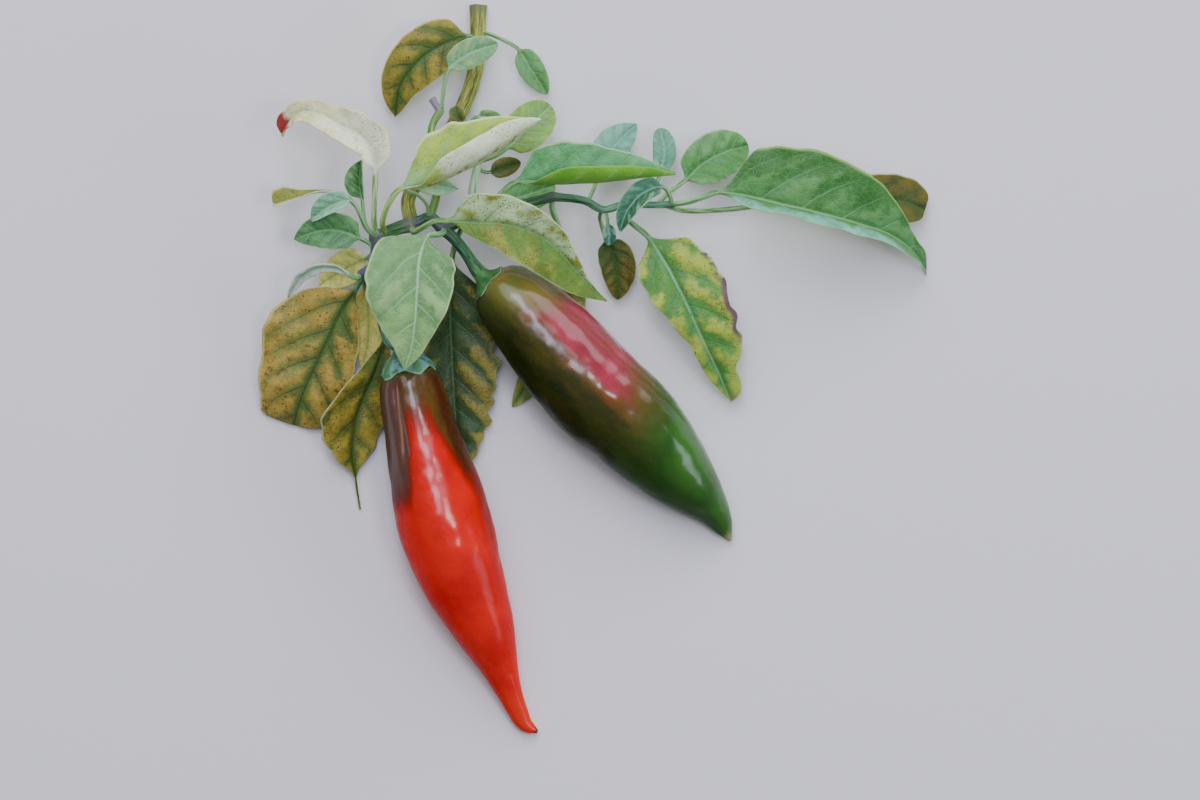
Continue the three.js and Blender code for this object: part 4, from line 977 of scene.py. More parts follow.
LEAF_TONES = {
    "usual": {
        "face": (0.1, 0.27, 0.08), "patch": (0.19, 0.38, 0.08), "patch_from": 0.7, "patch_noise": 0.8,
        "patch_between": 0.5, "patch_margin": 0.2, "patch_tip": 0.0, "vein": (0.26, 0.5, 0.24),
        "vein_show": 0.55, "halo": (0.05, 0.18, 0.05), "halo_show": 0.5, "rim": (0.42, 0.58, 0.28),
        "rim_show": 0.8, "rim_width": 0.035, "speck": (0.12, 0.05, 0.012), "speck_share": 0.0,
        "speck_size": 0.6, "speck_margin": 0.0, "mottle": (0.05, 0.14, 0.035), "mottle_show": 0.3,
        "tip": (0.24, 0.18, 0.07), "tip_from": 2.0, "edge": (0.3, 0.2, 0.16), "edge_side": 0.0,
        "back": (0.28, 0.46, 0.22), "under_vein": (0.36, 0.54, 0.3), "stalk": (0.07, 0.24, 0.06),
        "stalk_light": (0.26, 0.46, 0.2), "rough": 0.5,
    },
    "cream": {
        "left": (0.93, 0.95, 0.64), "right": (0.88, 0.9, 0.58), "patch": (0.8, 0.78, 0.36),
        "patch_from": 0.66, "patch_tip": 0.9, "vein": (0.5, 0.64, 0.42), "vein_show": 0.3,
        "halo": (0.56, 0.68, 0.46), "halo_show": 0.25, "mottle": (0.5, 0.42, 0.44), "mottle_show": 0.5,
        "rim": (0.82, 0.78, 0.34), "rim_width": 0.08, "speck": (0.2, 0.13, 0.2), "speck_share": 0.26,
        "speck_size": 0.45, "tip": (0.29, 0.035, 0.026), "tip_from": 0.84, "under": (0.62, 0.62, 0.26),
        "under_base": (0.7, 0.78, 0.48), "under_vein": (0.62, 0.7, 0.44), "stalk": (0.14, 0.34, 0.08),
        "stalk_light": (0.5, 0.62, 0.34),
    },
    "curled_yellow": {
        "left": (0.43, 0.61, 0.05), "right": (0.4, 0.64, 0.26), "patch": (0.34, 0.58, 0.18),
        "patch_from": 0.5, "patch_between": -0.1, "patch_margin": -1.3, "vein": (0.4, 0.6, 0.34),
        "vein_show": 0.4, "halo": (0.22, 0.46, 0.2), "rim": (0.72, 0.8, 0.42), "rim_width": 0.05,
        "speck": (0.3, 0.11, 0.02), "speck_share": 0.2, "under": (0.76, 0.86, 0.58),
        "under_base": (0.36, 0.5, 0.07), "under_from": 0.3, "under_vein": (0.5, 0.62, 0.4),
        "stalk": (0.14, 0.32, 0.05), "stalk_light": (0.42, 0.56, 0.18),
    },
    "speckled": {
        # The left half is a pale whitish green of its own, made paler still as painted light where it faces
        # away from the lamps.
        "left": (0.58, 0.8, 0.4), "right": (0.13, 0.23, 0.02), "patch": (0.25, 0.3, 0.036),
        "patch_from": 0.72, "vein": (0.13, 0.31, 0.08), "vein_show": 0.65, "side_vein": (0.06, 0.18, 0.03),
        "speck_margin": 0.5, "halo": (0.07, 0.2, 0.03), "rim": (0.5, 0.66, 0.34),
        "speck": (0.2, 0.05, 0.008), "speck_share": 0.26, "back": (0.22, 0.34, 0.06),
        "stalk": (0.08, 0.24, 0.04), "stalk_light": (0.26, 0.44, 0.16),
    },
    "pale": {
        "face": (0.13, 0.34, 0.13), "patch": (0.27, 0.42, 0.13), "patch_from": 0.62, "patch_between": 0.6,
        "vein": (0.34, 0.58, 0.32), "vein_show": 0.7, "halo": (0.09, 0.27, 0.1), "rim": (0.5, 0.66, 0.28),
        "back": (0.34, 0.52, 0.34), "mottle": (0.26, 0.28, 0.15), "mottle_show": 0.25,
        "speck": (0.24, 0.15, 0.13), "speck_share": 0.07, "speck_size": 0.4, "stalk": (0.1, 0.32, 0.1),
        "rough": 0.52,
    },
    "green": {
        "face": (0.08, 0.25, 0.07), "patch": (0.13, 0.35, 0.11), "patch_from": 0.6,
        "vein": (0.2, 0.44, 0.17), "vein_show": 0.5, "halo": (0.04, 0.17, 0.045),
    },
    "blue_green": {
        "face": (0.12, 0.36, 0.24), "patch": (0.18, 0.44, 0.28), "vein": (0.28, 0.54, 0.38),
        "halo": (0.06, 0.22, 0.13), "rim": (0.36, 0.56, 0.36), "rough": 0.45,
    },
    "orange": {
        "left": (0.13, 0.17, 0.03), "right": (0.34, 0.3, 0.06), "patch": (0.44, 0.31, 0.05),
        "patch_from": 0.4, "patch_between": 0.6, "patch_margin": 0.4, "patch_tip": 0.4,
        "vein": (0.03, 0.08, 0.015), "vein_show": 0.8, "halo": (0.06, 0.13, 0.022), "halo_show": 0.85,
        "mottle": (0.16, 0.06, 0.01), "mottle_show": 0.9, "rim": (0.6, 0.52, 0.18),
        "speck": (0.13, 0.045, 0.01), "speck_share": 0.24, "speck_size": 0.8, "back": (0.4, 0.46, 0.24),
        "stalk": (0.04, 0.16, 0.035), "stalk_light": (0.16, 0.34, 0.16),
    },
    "yellow": {
        "face": (0.32, 0.34, 0.07), "patch": (0.44, 0.38, 0.07), "patch_from": 0.5,
        "vein": (0.12, 0.24, 0.05), "vein_show": 0.5, "halo": (0.1, 0.22, 0.04), "halo_show": 0.7,
        "speck": (0.24, 0.11, 0.02), "speck_share": 0.08,
    },
    "olive": {
        "face": (0.09, 0.12, 0.018), "patch": (0.19, 0.16, 0.02), "patch_from": 0.42, "patch_between": 0.7,
        "patch_tip": 0.5, "vein": (0.04, 0.1, 0.018), "vein_show": 0.7, "mottle": (0.075, 0.04, 0.008),
        "mottle_show": 0.6, "halo": (0.035, 0.08, 0.012), "halo_show": 0.8, "rim": (0.44, 0.46, 0.24),
        "speck": (0.05, 0.02, 0.006), "speck_share": 0.24, "speck_size": 0.5, "back": (0.14, 0.2, 0.05),
        "stalk": (0.06, 0.16, 0.02),
    },
    "dark": {
        "left": (0.05, 0.1, 0.026), "right": (0.05, 0.095, 0.03), "patch": (0.24, 0.21, 0.026),
        "patch_from": 0.72, "patch_between": 0.6, "patch_margin": 0.55, "patch_tip": 0.8,
        "vein": (0.08, 0.15, 0.06), "vein_show": 0.5, "halo": (0.022, 0.062, 0.018), "halo_show": 0.8,
        "rim": (0.2, 0.26, 0.08), "speck": (0.09, 0.03, 0.008), "speck_share": 0.28, "speck_size": 0.5,
        "back": (0.08, 0.14, 0.05), "stalk": (0.05, 0.15, 0.035),
    },
    "hanging": {
        "left": (0.11, 0.28, 0.032), "right": (0.1, 0.27, 0.036), "patch": (0.38, 0.47, 0.045),
        "patch_from": 0.46, "patch_margin": 0.4, "vein": (0.2, 0.44, 0.2), "side_vein": (0.04, 0.18, 0.05),
        "vein_show": 0.6, "halo": (0.05, 0.22, 0.05), "halo_show": 0.7, "speck": (0.13, 0.05, 0.02),
        "speck_share": 0.12, "speck_margin": 0.6, "edge": (0.13, 0.075, 0.075), "edge_side": 1.0,
        "tip": (0.3, 0.24, 0.12), "tip_from": 0.95,
    },
}

# Keys that stand for two tones, and the two tones inside a leaf that rolls its under side up
SHARED_TONES = {"face": ("left", "right"), "back": ("under", "under_base")}
ROLLED_INNER = (0.50, 0.58, 0.20)
ROLLED_RUST = (0.26, 0.13, 0.02)


def full_tones(leaf):
    """The usual tones, with those of the leaf's look and its own over them."""
    tones = {}
    for given in (LEAF_TONES["usual"], LEAF_TONES[leaf["look"]], leaf["tones"]):
        for key, tone in given.items():
            for each in SHARED_TONES.get(key, [key]):
                tones[each] = tone
    return tones


def leaf_material(leaf):
    """Leaf tissue drawn along the leaf's own veins, from its place across and along the blade."""
    tones = full_tones(leaf)
    gap = leaf["vein_gap"]
    look = Look(leaf["name"] + "_tissue", Specular_IOR_Level=LEAF_GLOSS)
    out, share, top = look.stored("leaf_place")
    reach, way = look.stored("leaf_size")[:2]
    place = look.object_place()
    middle = look.noise(place, 330, 4)
    fine = look.noise(place, 1700, 3)
    away = reach.size()
    margin = out.size()
    left = reach.above(0)

    count = (way - away * VEIN_SLOPE - away * away * VEIN_BEND) / gap + (1 - left) * VEIN_SHIFT
    count = count + (middle - 0.5) * 0.12
    between = (count - count.nearest()).size()
    near = between * (gap * 0.8)
    side_vein = near.step(0.42, 0.10) * (1 - margin * margin)
    midrib = (away + share * 0.35).step(0.72, 0.32)
    vein = midrib.most(side_vein * 0.7)
    net = look.cells(place, 520, "DISTANCE_TO_EDGE").step(0.12, 0.0)
    side_tone = tones.get("side_vein", tones["vein"])

    beside = near.step(gap * 0.36, 0.2).most(away.step(3.2, 0.6)) * (1.1 - margin)
    mottles = look.noise(place, 420, 5, 0.7).step(0.50, 0.68) * look.noise(place, 90, 3).step(0.40, 0.60)
    specks = leaf_specks(look, tones, place, margin, left)
    rim = margin.step(1 - tones["rim_width"] * 2, 1 - tones["rim_width"] * 0.4)
    to_tip = (share + (middle - 0.5) * 0.1).step(tones["tip_from"], tones["tip_from"] + 0.06)
    colour = look.over(
        look.mix(left, tones["right"], tones["left"]),
        (leaf_patches(look, tones, place, middle, between, margin, share), tones["patch"]),
        ((beside * tones["halo_show"]).least(1), tones["halo"]),
        (middle.step(0.62, 0.34) * 0.3, tuple(part * 0.62 for part in tones["halo"])),
        (mottles * tones["mottle_show"], tones["mottle"]),
        (net * 0.14, side_tone),
        (side_vein * tones["vein_show"] * 0.8, side_tone),
        ((midrib * (tones["vein_show"] + 0.15)).least(1), tones["vein"]),
        (specks * 0.85, tones["speck"]),
        (rim * tones["rim_show"], tones["rim"]),
        (leaf_dry_edge(tones, margin, left, share, middle), tones["edge"]),
        (to_tip, tones["tip"]),
    )
    under = look.over(
        leaf_back(look, tones, place, middle, margin, share),
        (vein * 0.8, tones["under_vein"]),
        (specks * 0.7, tones["speck"]),
    )
    streak = look.noise(look.together(way * 0.05, reach * 2, 0), 2.0, 2)
    stalk = look.mix(streak.step(0.4, 0.6), tones["stalk"], tones["stalk_light"])
    colour = look.mix(share.step(0.0, 0.04), stalk, look.mix(top, under, colour))
    roughness = (middle - 0.5) * 0.3 + vein * 0.08 + tones["rough"]
    return look.finish(colour, roughness, vein * -0.7 - net * 0.4 + fine * 0.35 + middle * 0.4, 0.55, 0.0003)


def leaf_patches(look, tones, place, middle, between, margin, share):
    """Where the tissue has turned: in broad patches, between the veins, toward the margin and the tip."""
    patch = (look.noise(place, 70, 3) - 0.5) * (3 * tones["patch_noise"]) + (middle - 0.5) + 0.5
    patch = patch + between * (2 * tones["patch_between"]) - tones["patch_between"] * 0.5
    patch = patch + (margin - 0.5) * tones["patch_margin"] + (share - 0.5) * tones["patch_tip"]
    return patch.step(tones["patch_from"] - 0.22, tones["patch_from"] + 0.22)


def leaf_specks(look, tones, place, margin, left):
    """Small specks in clusters, more of them along the left margin where the tones say so."""
    scale = 900 / tones["speck_size"]
    chance = look.parts(look.cells(place, scale, "F1", "Color"))[0]
    cluster = look.noise(place, 140, 2).step(0.40, 0.62)
    cluster = cluster + margin.step(0.35, 0.8) * left * tones["speck_margin"]
    held = (chance + cluster * 0.5).above(1.5 - tones["speck_share"] * 1.6)
    return held * look.cells(place, scale).step(0.5, 0.25)


def leaf_dry_edge(tones, margin, left, share, middle):
    """A dry left edge from the first quarter of the blade to the third one."""
    along = (share + middle - 0.5).step(0.22, 0.36) * share.step(0.76, 0.62)
    return margin.step(0.80, 0.93) * left * tones["edge_side"] * along


def leaf_back(look, tones, place, middle, margin, share):
    """The under side, and the rusty inside of a rolled leaf."""
    start = tones.get("under_from", 0)
    far = (share + (middle - 0.5) * 0.1).step(start - 0.05, start + 0.05)
    under = look.mix(far, tones["under_base"], tones["under"])
    under = look.mix(middle.step(0.4, 0.8) * 0.35, under, tones["under_base"])
    if "under_from" in tones:
        inner = (margin + (middle - 0.5) * 0.3).step(0.52, 0.22)
        rust = look.noise(place, 260, 3).step(0.54, 0.62)
        under = look.over(under, (inner * 0.7, ROLLED_INNER), (inner * rust * 0.8, ROLLED_RUST))
    return under


# Peppers

def fruit_radius(fruit, share, angle):
    """The pepper's radius: its own taper with three faint lobes, soft lumps, and any crease."""
    body = smooth_value(fruit["radii"], share)
    lobes = 0.02 * math.cos(3 * angle + 5 * share)
    spot = Vector((math.cos(angle) * 1.1, math.sin(angle) * 1.1, share * 9 + fruit["seed"]))
    lumps = 0.026 * noise.noise(spot) + 0.010 * noise.noise(spot * 3.1) + 0.0022 * noise.noise(spot * 8)
    ripple = Vector((math.cos(angle) * 1.7, math.sin(angle) * 1.7, share * 27 + fruit["seed"] * 3))
    lumps += 0.013 * noise.noise(ripple) * smooth_step(share, 0.03, 0.15)
    crease = 0
    for middle, start, end, depth, breadth in fruit["creases"]:
        turn = (angle - middle + math.pi) % (2 * math.pi) - math.pi
        held = smooth_step(share, start, start + 0.05) * smooth_step(share, end, end - 0.08)
        crease += depth * math.exp(-(turn / breadth) ** 2) * held
    return body * (1 + (lobes + lumps) * smooth_step(share, 0, 0.08) - crease)


def make_fruit(name, material):
    fruit = FRUITS[name]
    path = Path(fruit["axis"])
    rings = []
    places = []
    for step in range(FRUIT_RINGS + 1):
        even = step / FRUIT_RINGS
        share = blend(even, (1 - math.cos(math.pi * even)) / 2, 0.75)
        frame = level_frame(path.along(share))
        centre = path.place(share)
        around = turns(FRUIT_SIDES)
        rings.append([point_about(centre, frame, fruit_radius(fruit, share, turn), turn) for turn in around])
        places.append([(share, math.cos(turn), math.sin(turn)) for turn in around])
    add_piece(name + "_skin", closed_mesh(name + "_skin", rings, {"fruit_place": places}), name, material)


def finish_skin(look, place, colour, roughness, wax):
    """Feeds a pepper's skin its colour, its wax and its fine uneven relief."""
    height = look.noise(place, 330, 3) * 1.7 + look.noise(place, 900, 2) * 0.42
    height = height + look.noise(place, 3000, 2) * 0.05
    look.feed("Coat Weight", wax)
    return look.finish(colour, roughness, height, 0.40, 0.0004)


def red_skin():
    """Ripe skin: dark and brown at the shoulder and down both sides, then bright red, orange at the tip."""
    look = Look("ripe_red_skin", **WAX)
    share, side, rise = look.stored("fruit_place")
    place = look.object_place()
    streak = look.noise(look.together(side, rise, share * 5), 1.7, 4)
    broad = look.noise(place, 60, 3)
    leftward = side.step(-0.25, -0.62)
    front = 0.155 + leftward * 0.17 + side.step(0.30, 0.95) * 0.17
    past_front = share + (streak - 0.5) * 0.12 - front
    crease = (side + 0.43 + (share - 0.05) * 1.0).size().step(0.055, 0.010) * rise.above(0)
    crease = crease * share.step(0.02, 0.06) * share.step(0.24, 0.14)
    shoulder = look.over(
        look.mix(streak.step(0.4, 0.62), (0.060, 0.020, 0.006), (0.090, 0.050, 0.008)),
        (leftward, (0.090, 0.040, 0.028)),
        (share.step(0.04, 0.0), (0.06, 0.07, 0.015)),
    )
    red = look.over(
        look.mix(broad.step(0.35, 0.65), (0.52, 0.004, 0.0025), (0.66, 0.009, 0.003)),
        (leftward * share.step(0.36, 0.26) * 0.7, (0.22, 0.010, 0.006)),
        (side.step(0.72, 0.95) * share.step(0.58, 0.36) * 0.7, (0.14, 0.014, 0.006)),
    )
    colour = look.over(
        shoulder,
        (past_front.step(-0.08, -0.01), (0.17, 0.014, 0.006)),
        (past_front.step(-0.04, 0.05), red),
        (share.step(0.84, 0.93) * 0.7, (0.72, 0.030, 0.006)),
        (share.step(0.985, 0.998), (0.05, 0.025, 0.015)),
        (crease * 0.75, (0.34, 0.14, 0.07)),
        (look.noise(place, 900, 3).step(0.60, 0.72) * 0.10, (0.80, 0.10, 0.02)),
    )
    wax = (rise.step(0.15, 0.85) * 0.84 + 0.04) * (side.step(0.22, 0.42) * -0.8 + 1.0)
    wax = wax * (side.step(-0.40, -0.66) * share.step(0.20, 0.32) * -0.9 + 1.0)
    return finish_skin(look, place, colour, (broad - 0.5) * 0.12 + 0.34, wax)


def green_skin():
    """Unripe skin: olive shoulder, reddening upper side with painted sheen, brown edge, dark flank, green to
    the tip.
    """
    look = Look("unripe_green_skin", **WAX)
    share, side, rise = look.stored("fruit_place")
    place = look.object_place()
    streak = look.noise(look.together(side, rise, share * 5), 1.9, 4)
    patch = look.noise(look.together(side, rise, share * 4), 2.6, 5, 0.6)
    broad = look.noise(place, 60, 3)
    across = side + (patch - 0.5) * 0.55
    brown = look.mix(streak.step(0.38, 0.62), (0.090, 0.052, 0.008), (0.150, 0.050, 0.010))
    olive = look.mix(patch.step(0.4, 0.6), (0.036, 0.036, 0.006), (0.060, 0.050, 0.007))
    # The upper side's red is partly the skin turning and partly a painted lavender sheen; the blue in it
    # stands in for the reflection.
    red_and_sheen_tone = look.mix(streak.step(0.35, 0.65), (0.24, 0.024, 0.030), (0.34, 0.028, 0.055))
    red_and_sheen_share = across.step(0.04, 0.24) * share.step(0.10, 0.24) * (share + side * 0.05).step(0.56, 0.42)
    upper = look.over(
        look.mix(streak.step(0.4, 0.6), (0.014, 0.024, 0.004), (0.030, 0.036, 0.005)),
        (across.step(-0.62, -0.25), olive),
        (across.step(-0.22, 0.02), brown),
        (red_and_sheen_share, red_and_sheen_tone),
    )
    green = look.over(
        look.mix(broad.step(0.35, 0.65), (0.016, 0.072, 0.006), (0.032, 0.130, 0.009)),
        (side.step(0.1, -0.5) * 0.75, (0.014, 0.040, 0.005)),
    )
    shoulder = look.over(
        look.mix(broad.step(0.4, 0.6), (0.115, 0.120, 0.018), (0.170, 0.130, 0.020)),
        (side.step(0.0, -0.6), (0.040, 0.052, 0.008)),
    )
    colour = look.over(
        upper,
        ((share + (streak - 0.5) * 0.18 + side * 0.05).step(0.46, 0.66), green),
        ((share + (streak - 0.5) * 0.1 - side * 0.04).step(0.18, 0.06), shoulder),
        ((share + (streak - 0.5) * 0.05).step(0.965, 0.995) * 0.8, (0.30, 0.28, 0.10)),
        (look.noise(place, 900, 3).step(0.60, 0.72) * 0.10, (0.12, 0.18, 0.03)),
    )
    return finish_skin(look, place, colour, (broad - 0.5) * 0.12 + 0.34, side.step(-0.75, 0.0) * 0.82 + 0.06)


# Calyxes

def neck_place(stalk, body, height):
    """The middle of stalk or calyx at a height from the shoulder; before it, leaning to the stalk's end."""
    shoulder = body.place(0)
    inward = body.along(0)
    end = Vector(stalk["route"][-1])
    reach = (shoulder - end).dot(inward)
    aside = end + inward * reach - shoulder
    return shoulder + inward * height + aside * ((max(-height, 0) / reach) ** 1.3 * stalk["lean"])


def make_calyx(stalk, material):
    """A thin lobed cap that spreads from the stalk and lies over the pepper's shoulder."""
    fruit = FRUITS[stalk["fruit"]]
    body = Path(fruit["axis"])
    frame = level_frame(body.along(0))
    reach = stalk["reach"]
    outer = [(-9, stalk["radius"] * 0.9), (-7.5, stalk["radius"] * 1.04)]
    outer += [(height, size * reach) for height, size in stalk["flare"]]
    rings = []
    places = []
    for row in range(CALYX_ROWS + CALYX_LAP + 1):
        ring = []
        values = []
        going = min(row / CALYX_ROWS, 1)
        back = max(row - CALYX_ROWS, 0) / CALYX_LAP
        for turn in turns(CALYX_SIDES):
            fifth = 5 * turn + stalk["turn"]
            lobe = (0.5 + 0.5 * math.cos(fifth)) ** 1.4
            frill = 0.5 * math.sin(17 * turn + 1.3) + 0.35 * math.sin(31 * turn)
            drop = stalk["drop"] + stalk["lobes"] * lobe + 0.16 * frill
            fold = 0.10 * math.cos(fifth) + 0.03 * math.cos(20 * turn)
            height, size = calyx_profile(outer, reach, drop, going, fruit, body.length)
            size *= 1 + fold * smooth_step(going, 0.35, 0.75) * (1 - smooth_step(going, 0.75, 1)) * 0.6
            if back > 0:
                height = blend(height + 0.1, -0.15, smooth_step(back, 0, 0.5))
                size = size * (1 - back) * 0.97
            spot = Vector((math.cos(turn) * 3.2, math.sin(turn) * 3.2, going * 5 + stalk["turn"]))
            size += 0.35 * noise.noise(spot) * smooth_step(going, 0.3, 0.6) * (1 - back)
            ring.append(point_about(neck_place(stalk, body, height), frame, size, turn))
            values.append((going, math.cos(fifth), 0))
        rings.append(ring)
        places.append(values)
    name = stalk["fruit"] + "_calyx"
    add_piece(name, closed_mesh(name, rings, {"calyx_place": places}), stalk["name"], material)


def calyx_profile(outer, reach, drop, going, fruit, length):
    """Height from the shoulder and radius of the cap's skin, on its way from the stalk to the rim."""
    if going < CALYX_SHOULDER:
        part = going / CALYX_SHOULDER * (len(outer) - 1)
        index = min(int(part), len(outer) - 2)
        start, end = outer[index:index + 2]
        return blend(start[0], end[0], part - index), blend(start[1], end[1], part - index)
    part = (going - CALYX_SHOULDER) / (1 - CALYX_SHOULDER)
    height = blend(outer[-1][0], drop, part)
    skin = smooth_value(fruit["radii"], max(height, 0) / length)
    return height, max(blend(outer[-1][1], reach * 1.04, smooth_step(part, 0, 0.5)), skin + 0.4)


def calyx_material(name, light, dark, rim, rib):
    look = Look(name, Specular_IOR_Level=CALYX_GLOSS)
    going, lobe = look.stored("calyx_place")[:2]
    grain = look.noise(look.object_place(), 420, 4)
    ribs = (lobe + (grain - 0.5) * 0.5).step(0.55, 0.95)
    colour = look.mix(grain.step(0.36, 0.60), dark, light)
    colour = look.over(colour, (ribs * 0.8, rib), (going.step(0.90, 0.985), rim))
    return look.finish(colour, grain * 0.2 + 0.38, grain + ribs * 0.5, 0.5, 0.00025)


# Limbs, grown along their routes by Geometry Nodes

# Each limb's tones: the bark, its light streaks and pores, its dark grooves, and the knuckle at a node
LIMB_TONES = {
    "main_stem": ((0.17, 0.19, 0.022), (0.34, 0.38, 0.07), (0.040, 0.06, 0.012), (0.14, 0.15, 0.07)),
    "left_bough": ((0.012, 0.075, 0.012), (0.07, 0.20, 0.05), (0.006, 0.035, 0.006), (0.12, 0.13, 0.12)),
    "left_twig": ((0.020, 0.06, 0.065), (0.10, 0.18, 0.21), (0.014, 0.025, 0.045), (0.09, 0.08, 0.15)),
    "right_bough_inner": (
        (0.018, 0.075, 0.030), (0.08, 0.18, 0.10), (0.010, 0.025, 0.022), (0.07, 0.07, 0.11)),
    # The middle of the right bough is darkened as painted shade, for the shade it lies in.
    "right_bough_middle": (
        (0.018, 0.085, 0.028), (0.08, 0.20, 0.09), (0.009, 0.035, 0.012), (0.06, 0.09, 0.06)),
    # The outer part starts as dark as the middle's painted shade and pales to its own green along its first
    # 26 mm.
    "right_bough_outer": (
        (0.022, 0.10, 0.035), (0.09, 0.24, 0.11), (0.010, 0.042, 0.015), (0.07, 0.13, 0.07)),
    "side_shoot": ((0.10, 0.26, 0.05), (0.32, 0.48, 0.14), (0.035, 0.13, 0.025), (0.16, 0.27, 0.10)),
    "broken_stub": ((0.22, 0.20, 0.26), (0.38, 0.37, 0.43), (0.08, 0.065, 0.10), (0.26, 0.24, 0.30)),
    "upper_shoot": ((0.28, 0.52, 0.26), (0.54, 0.72, 0.50), (0.11, 0.28, 0.12), (0.24, 0.40, 0.22)),
    "red_fruit_stalk": ((0.07, 0.20, 0.11), (0.20, 0.38, 0.26), (0.02, 0.08, 0.04), (0.08, 0.18, 0.11)),
    "green_fruit_stalk": (
        (0.010, 0.060, 0.022), (0.05, 0.22, 0.07), (0.004, 0.008, 0.018), (0.05, 0.09, 0.05)),
}
# A limb that pales outward out of painted shade: its last bark and streaks, and the stretch in millimetres
# between
LIMB_ENDS = {"right_bough_outer": ((0.075, 0.30, 0.15), (0.25, 0.52, 0.34), (6, 26))}


def limb_material(name):
    bark, light, dark, knuckle = LIMB_TONES[name]
    look = Look(name + "_bark", Specular_IOR_Level=LEAF_GLOSS)
    across, up, way = look.stored("limb_place")
    ridge = look.stored_number("ridge")
    streak = look.noise(look.together(across * 2.6, up * 2.6, way * 0.12), 1.8, 4)
    grain = look.noise(look.object_place(), 1400, 4)
    pores = look.cells(look.together(across * 2, up * 2, way * 0.5), 1.6).step(0.16, 0.08)
    if name in LIMB_ENDS:
        last_bark, last_light, stretch = LIMB_ENDS[name]
        bark = look.mix(way.step(*stretch), bark, last_bark)
        light = look.mix(way.step(*stretch), light, last_light)
    colour = look.over(
        look.mix(streak.step(0.42, 0.62), bark, light),
        (ridge.step(0.1, -0.8) * streak.step(0.62, 0.40) * 0.75, dark),
        ((look.stored_number("near_node") * (grain + 0.5)).least(0.8), knuckle),
        (pores * 0.35, light),
    )
    height = ridge * 0.4 + streak + grain * 0.35 + pores * 0.5
    return look.finish(colour, grain * 0.3 + 0.36, height, 0.55, 0.00018)


class Growth(Tree):
    """A tree of Geometry Nodes, which reads and keeps named values of the points."""

    def named(self, name, kind="FLOAT"):
        return self.node("GeometryNodeInputNamedAttribute", {"data_type": kind}, {"Name": name})

    def keep(self, geometry, name, value, kind="FLOAT"):
        return self.node(
            "GeometryNodeStoreNamedAttribute", {"data_type": kind, "domain": "POINT"},
            {"Geometry": geometry, "Name": name, "Value": value})


def limb_tree():
    """A tree of nodes that sweeps a ridged round section along a line of points."""
    group = bpy.data.node_groups.new("ridged_limb", "GeometryNodeTree")
    for name, kind in (("Line", "Geometry"), ("Sides", "Int"), ("Ridges", "Float"), ("Ridge height", "Float"),
                       ("Bark", "Material")):
        group.interface.new_socket(name, in_out="INPUT", socket_type="NodeSocket" + kind)
    group.interface.new_socket("Limb", in_out="OUTPUT", socket_type="NodeSocketGeometry")
    grow = Growth(group)
    given = {socket.name: Value(grow, socket) for socket in group.nodes.new("NodeGroupInput").outputs}
    angle = grow.node("GeometryNodeInputIndex", {}, {}) * (2 * math.pi) / given["Sides"]
    ridge = (angle * given["Ridges"]).reckon("COSINE")
    section = grow.node(
        "GeometryNodeCurvePrimitiveCircle", {"mode": "RADIUS"}, {"Resolution": given["Sides"], "Radius": 1.0})
    turn = grow.together(angle.reckon("COSINE"), angle.reckon("SINE"), ridge)
    section = grow.keep(section, "turn", turn, "FLOAT_VECTOR")
    line = grow.node("GeometryNodeMeshToCurve", {}, {"Mesh": given["Line"]})
    limb = grow.node(
        "GeometryNodeCurveToMesh", {},
        {"Curve": line, "Profile Curve": section, "Scale": grow.named("thickness"), "Fill Caps": True})
    across, up, ridge = grow.parts(grow.named("turn", "FLOAT_VECTOR"))
    rise = ridge * given["Ridge height"] * grow.named("thickness")
    normal = grow.node("GeometryNodeInputNormal", {}, {})
    offset = grow.node("ShaderNodeVectorMath", {"operation": "SCALE"}, {"Vector": normal, "Scale": rise})
    limb = grow.node("GeometryNodeSetPosition", {}, {"Geometry": limb, "Offset": offset})
    limb = grow.keep(limb, "limb_place", grow.together(across, up, grow.named("way")), "FLOAT_VECTOR")
    limb = grow.keep(limb, "ridge", ridge)
    limb = grow.node("GeometryNodeSetShadeSmooth", {}, {"Geometry": limb, "Shade Smooth": True})
    limb = grow.node("GeometryNodeRealizeInstances", {}, {"Geometry": limb})
    limb = grow.node("GeometryNodeSetMaterial", {}, {"Geometry": limb, "Material": given["Bark"]})
    end = group.nodes.new("NodeGroupOutput")
    group.links.new(limb.socket, end.inputs["Limb"])
    return group


def grow_limb(node, points, group, ridges, height):
    """One limb as a plain mesh, from rows of (place, radius, way, nearness to a node)."""
    name = node + "_bark"
    line = bpy.data.meshes.new(name + "_line")
    edges = [(at, at + 1) for at in range(len(points) - 1)]
    line.from_pydata([in_metres(point[0]) for point in points], edges, [])
    for key, column, scale in (("thickness", 1, MM), ("way", 2, 1), ("near_node", 3, 1)):
        layer = line.attributes.new(key, "FLOAT", "POINT")
        layer.data.foreach_set("value", [point[column] * scale for point in points])
    host = add_object(name, line)
    modifier = host.modifiers.new("grow", "NODES")
    modifier.node_group = group
    names = {item.name: item.identifier for item in group.interface.items_tree if item.in_out == "INPUT"}
    for key, value in (("Sides", LIMB_SIDES), ("Ridges", float(ridges)), ("Ridge height", height),
                       ("Bark", limb_material(node))):
        modifier[names[key]] = value
    bpy.context.view_layer.update()
    mesh = bpy.data.meshes.new_from_object(host.evaluated_get(bpy.context.evaluated_depsgraph_get()))
    mesh.name = name
    host.modifiers.remove(modifier)
    bpy.data.objects.remove(host)
    add_piece(name, mesh, node)


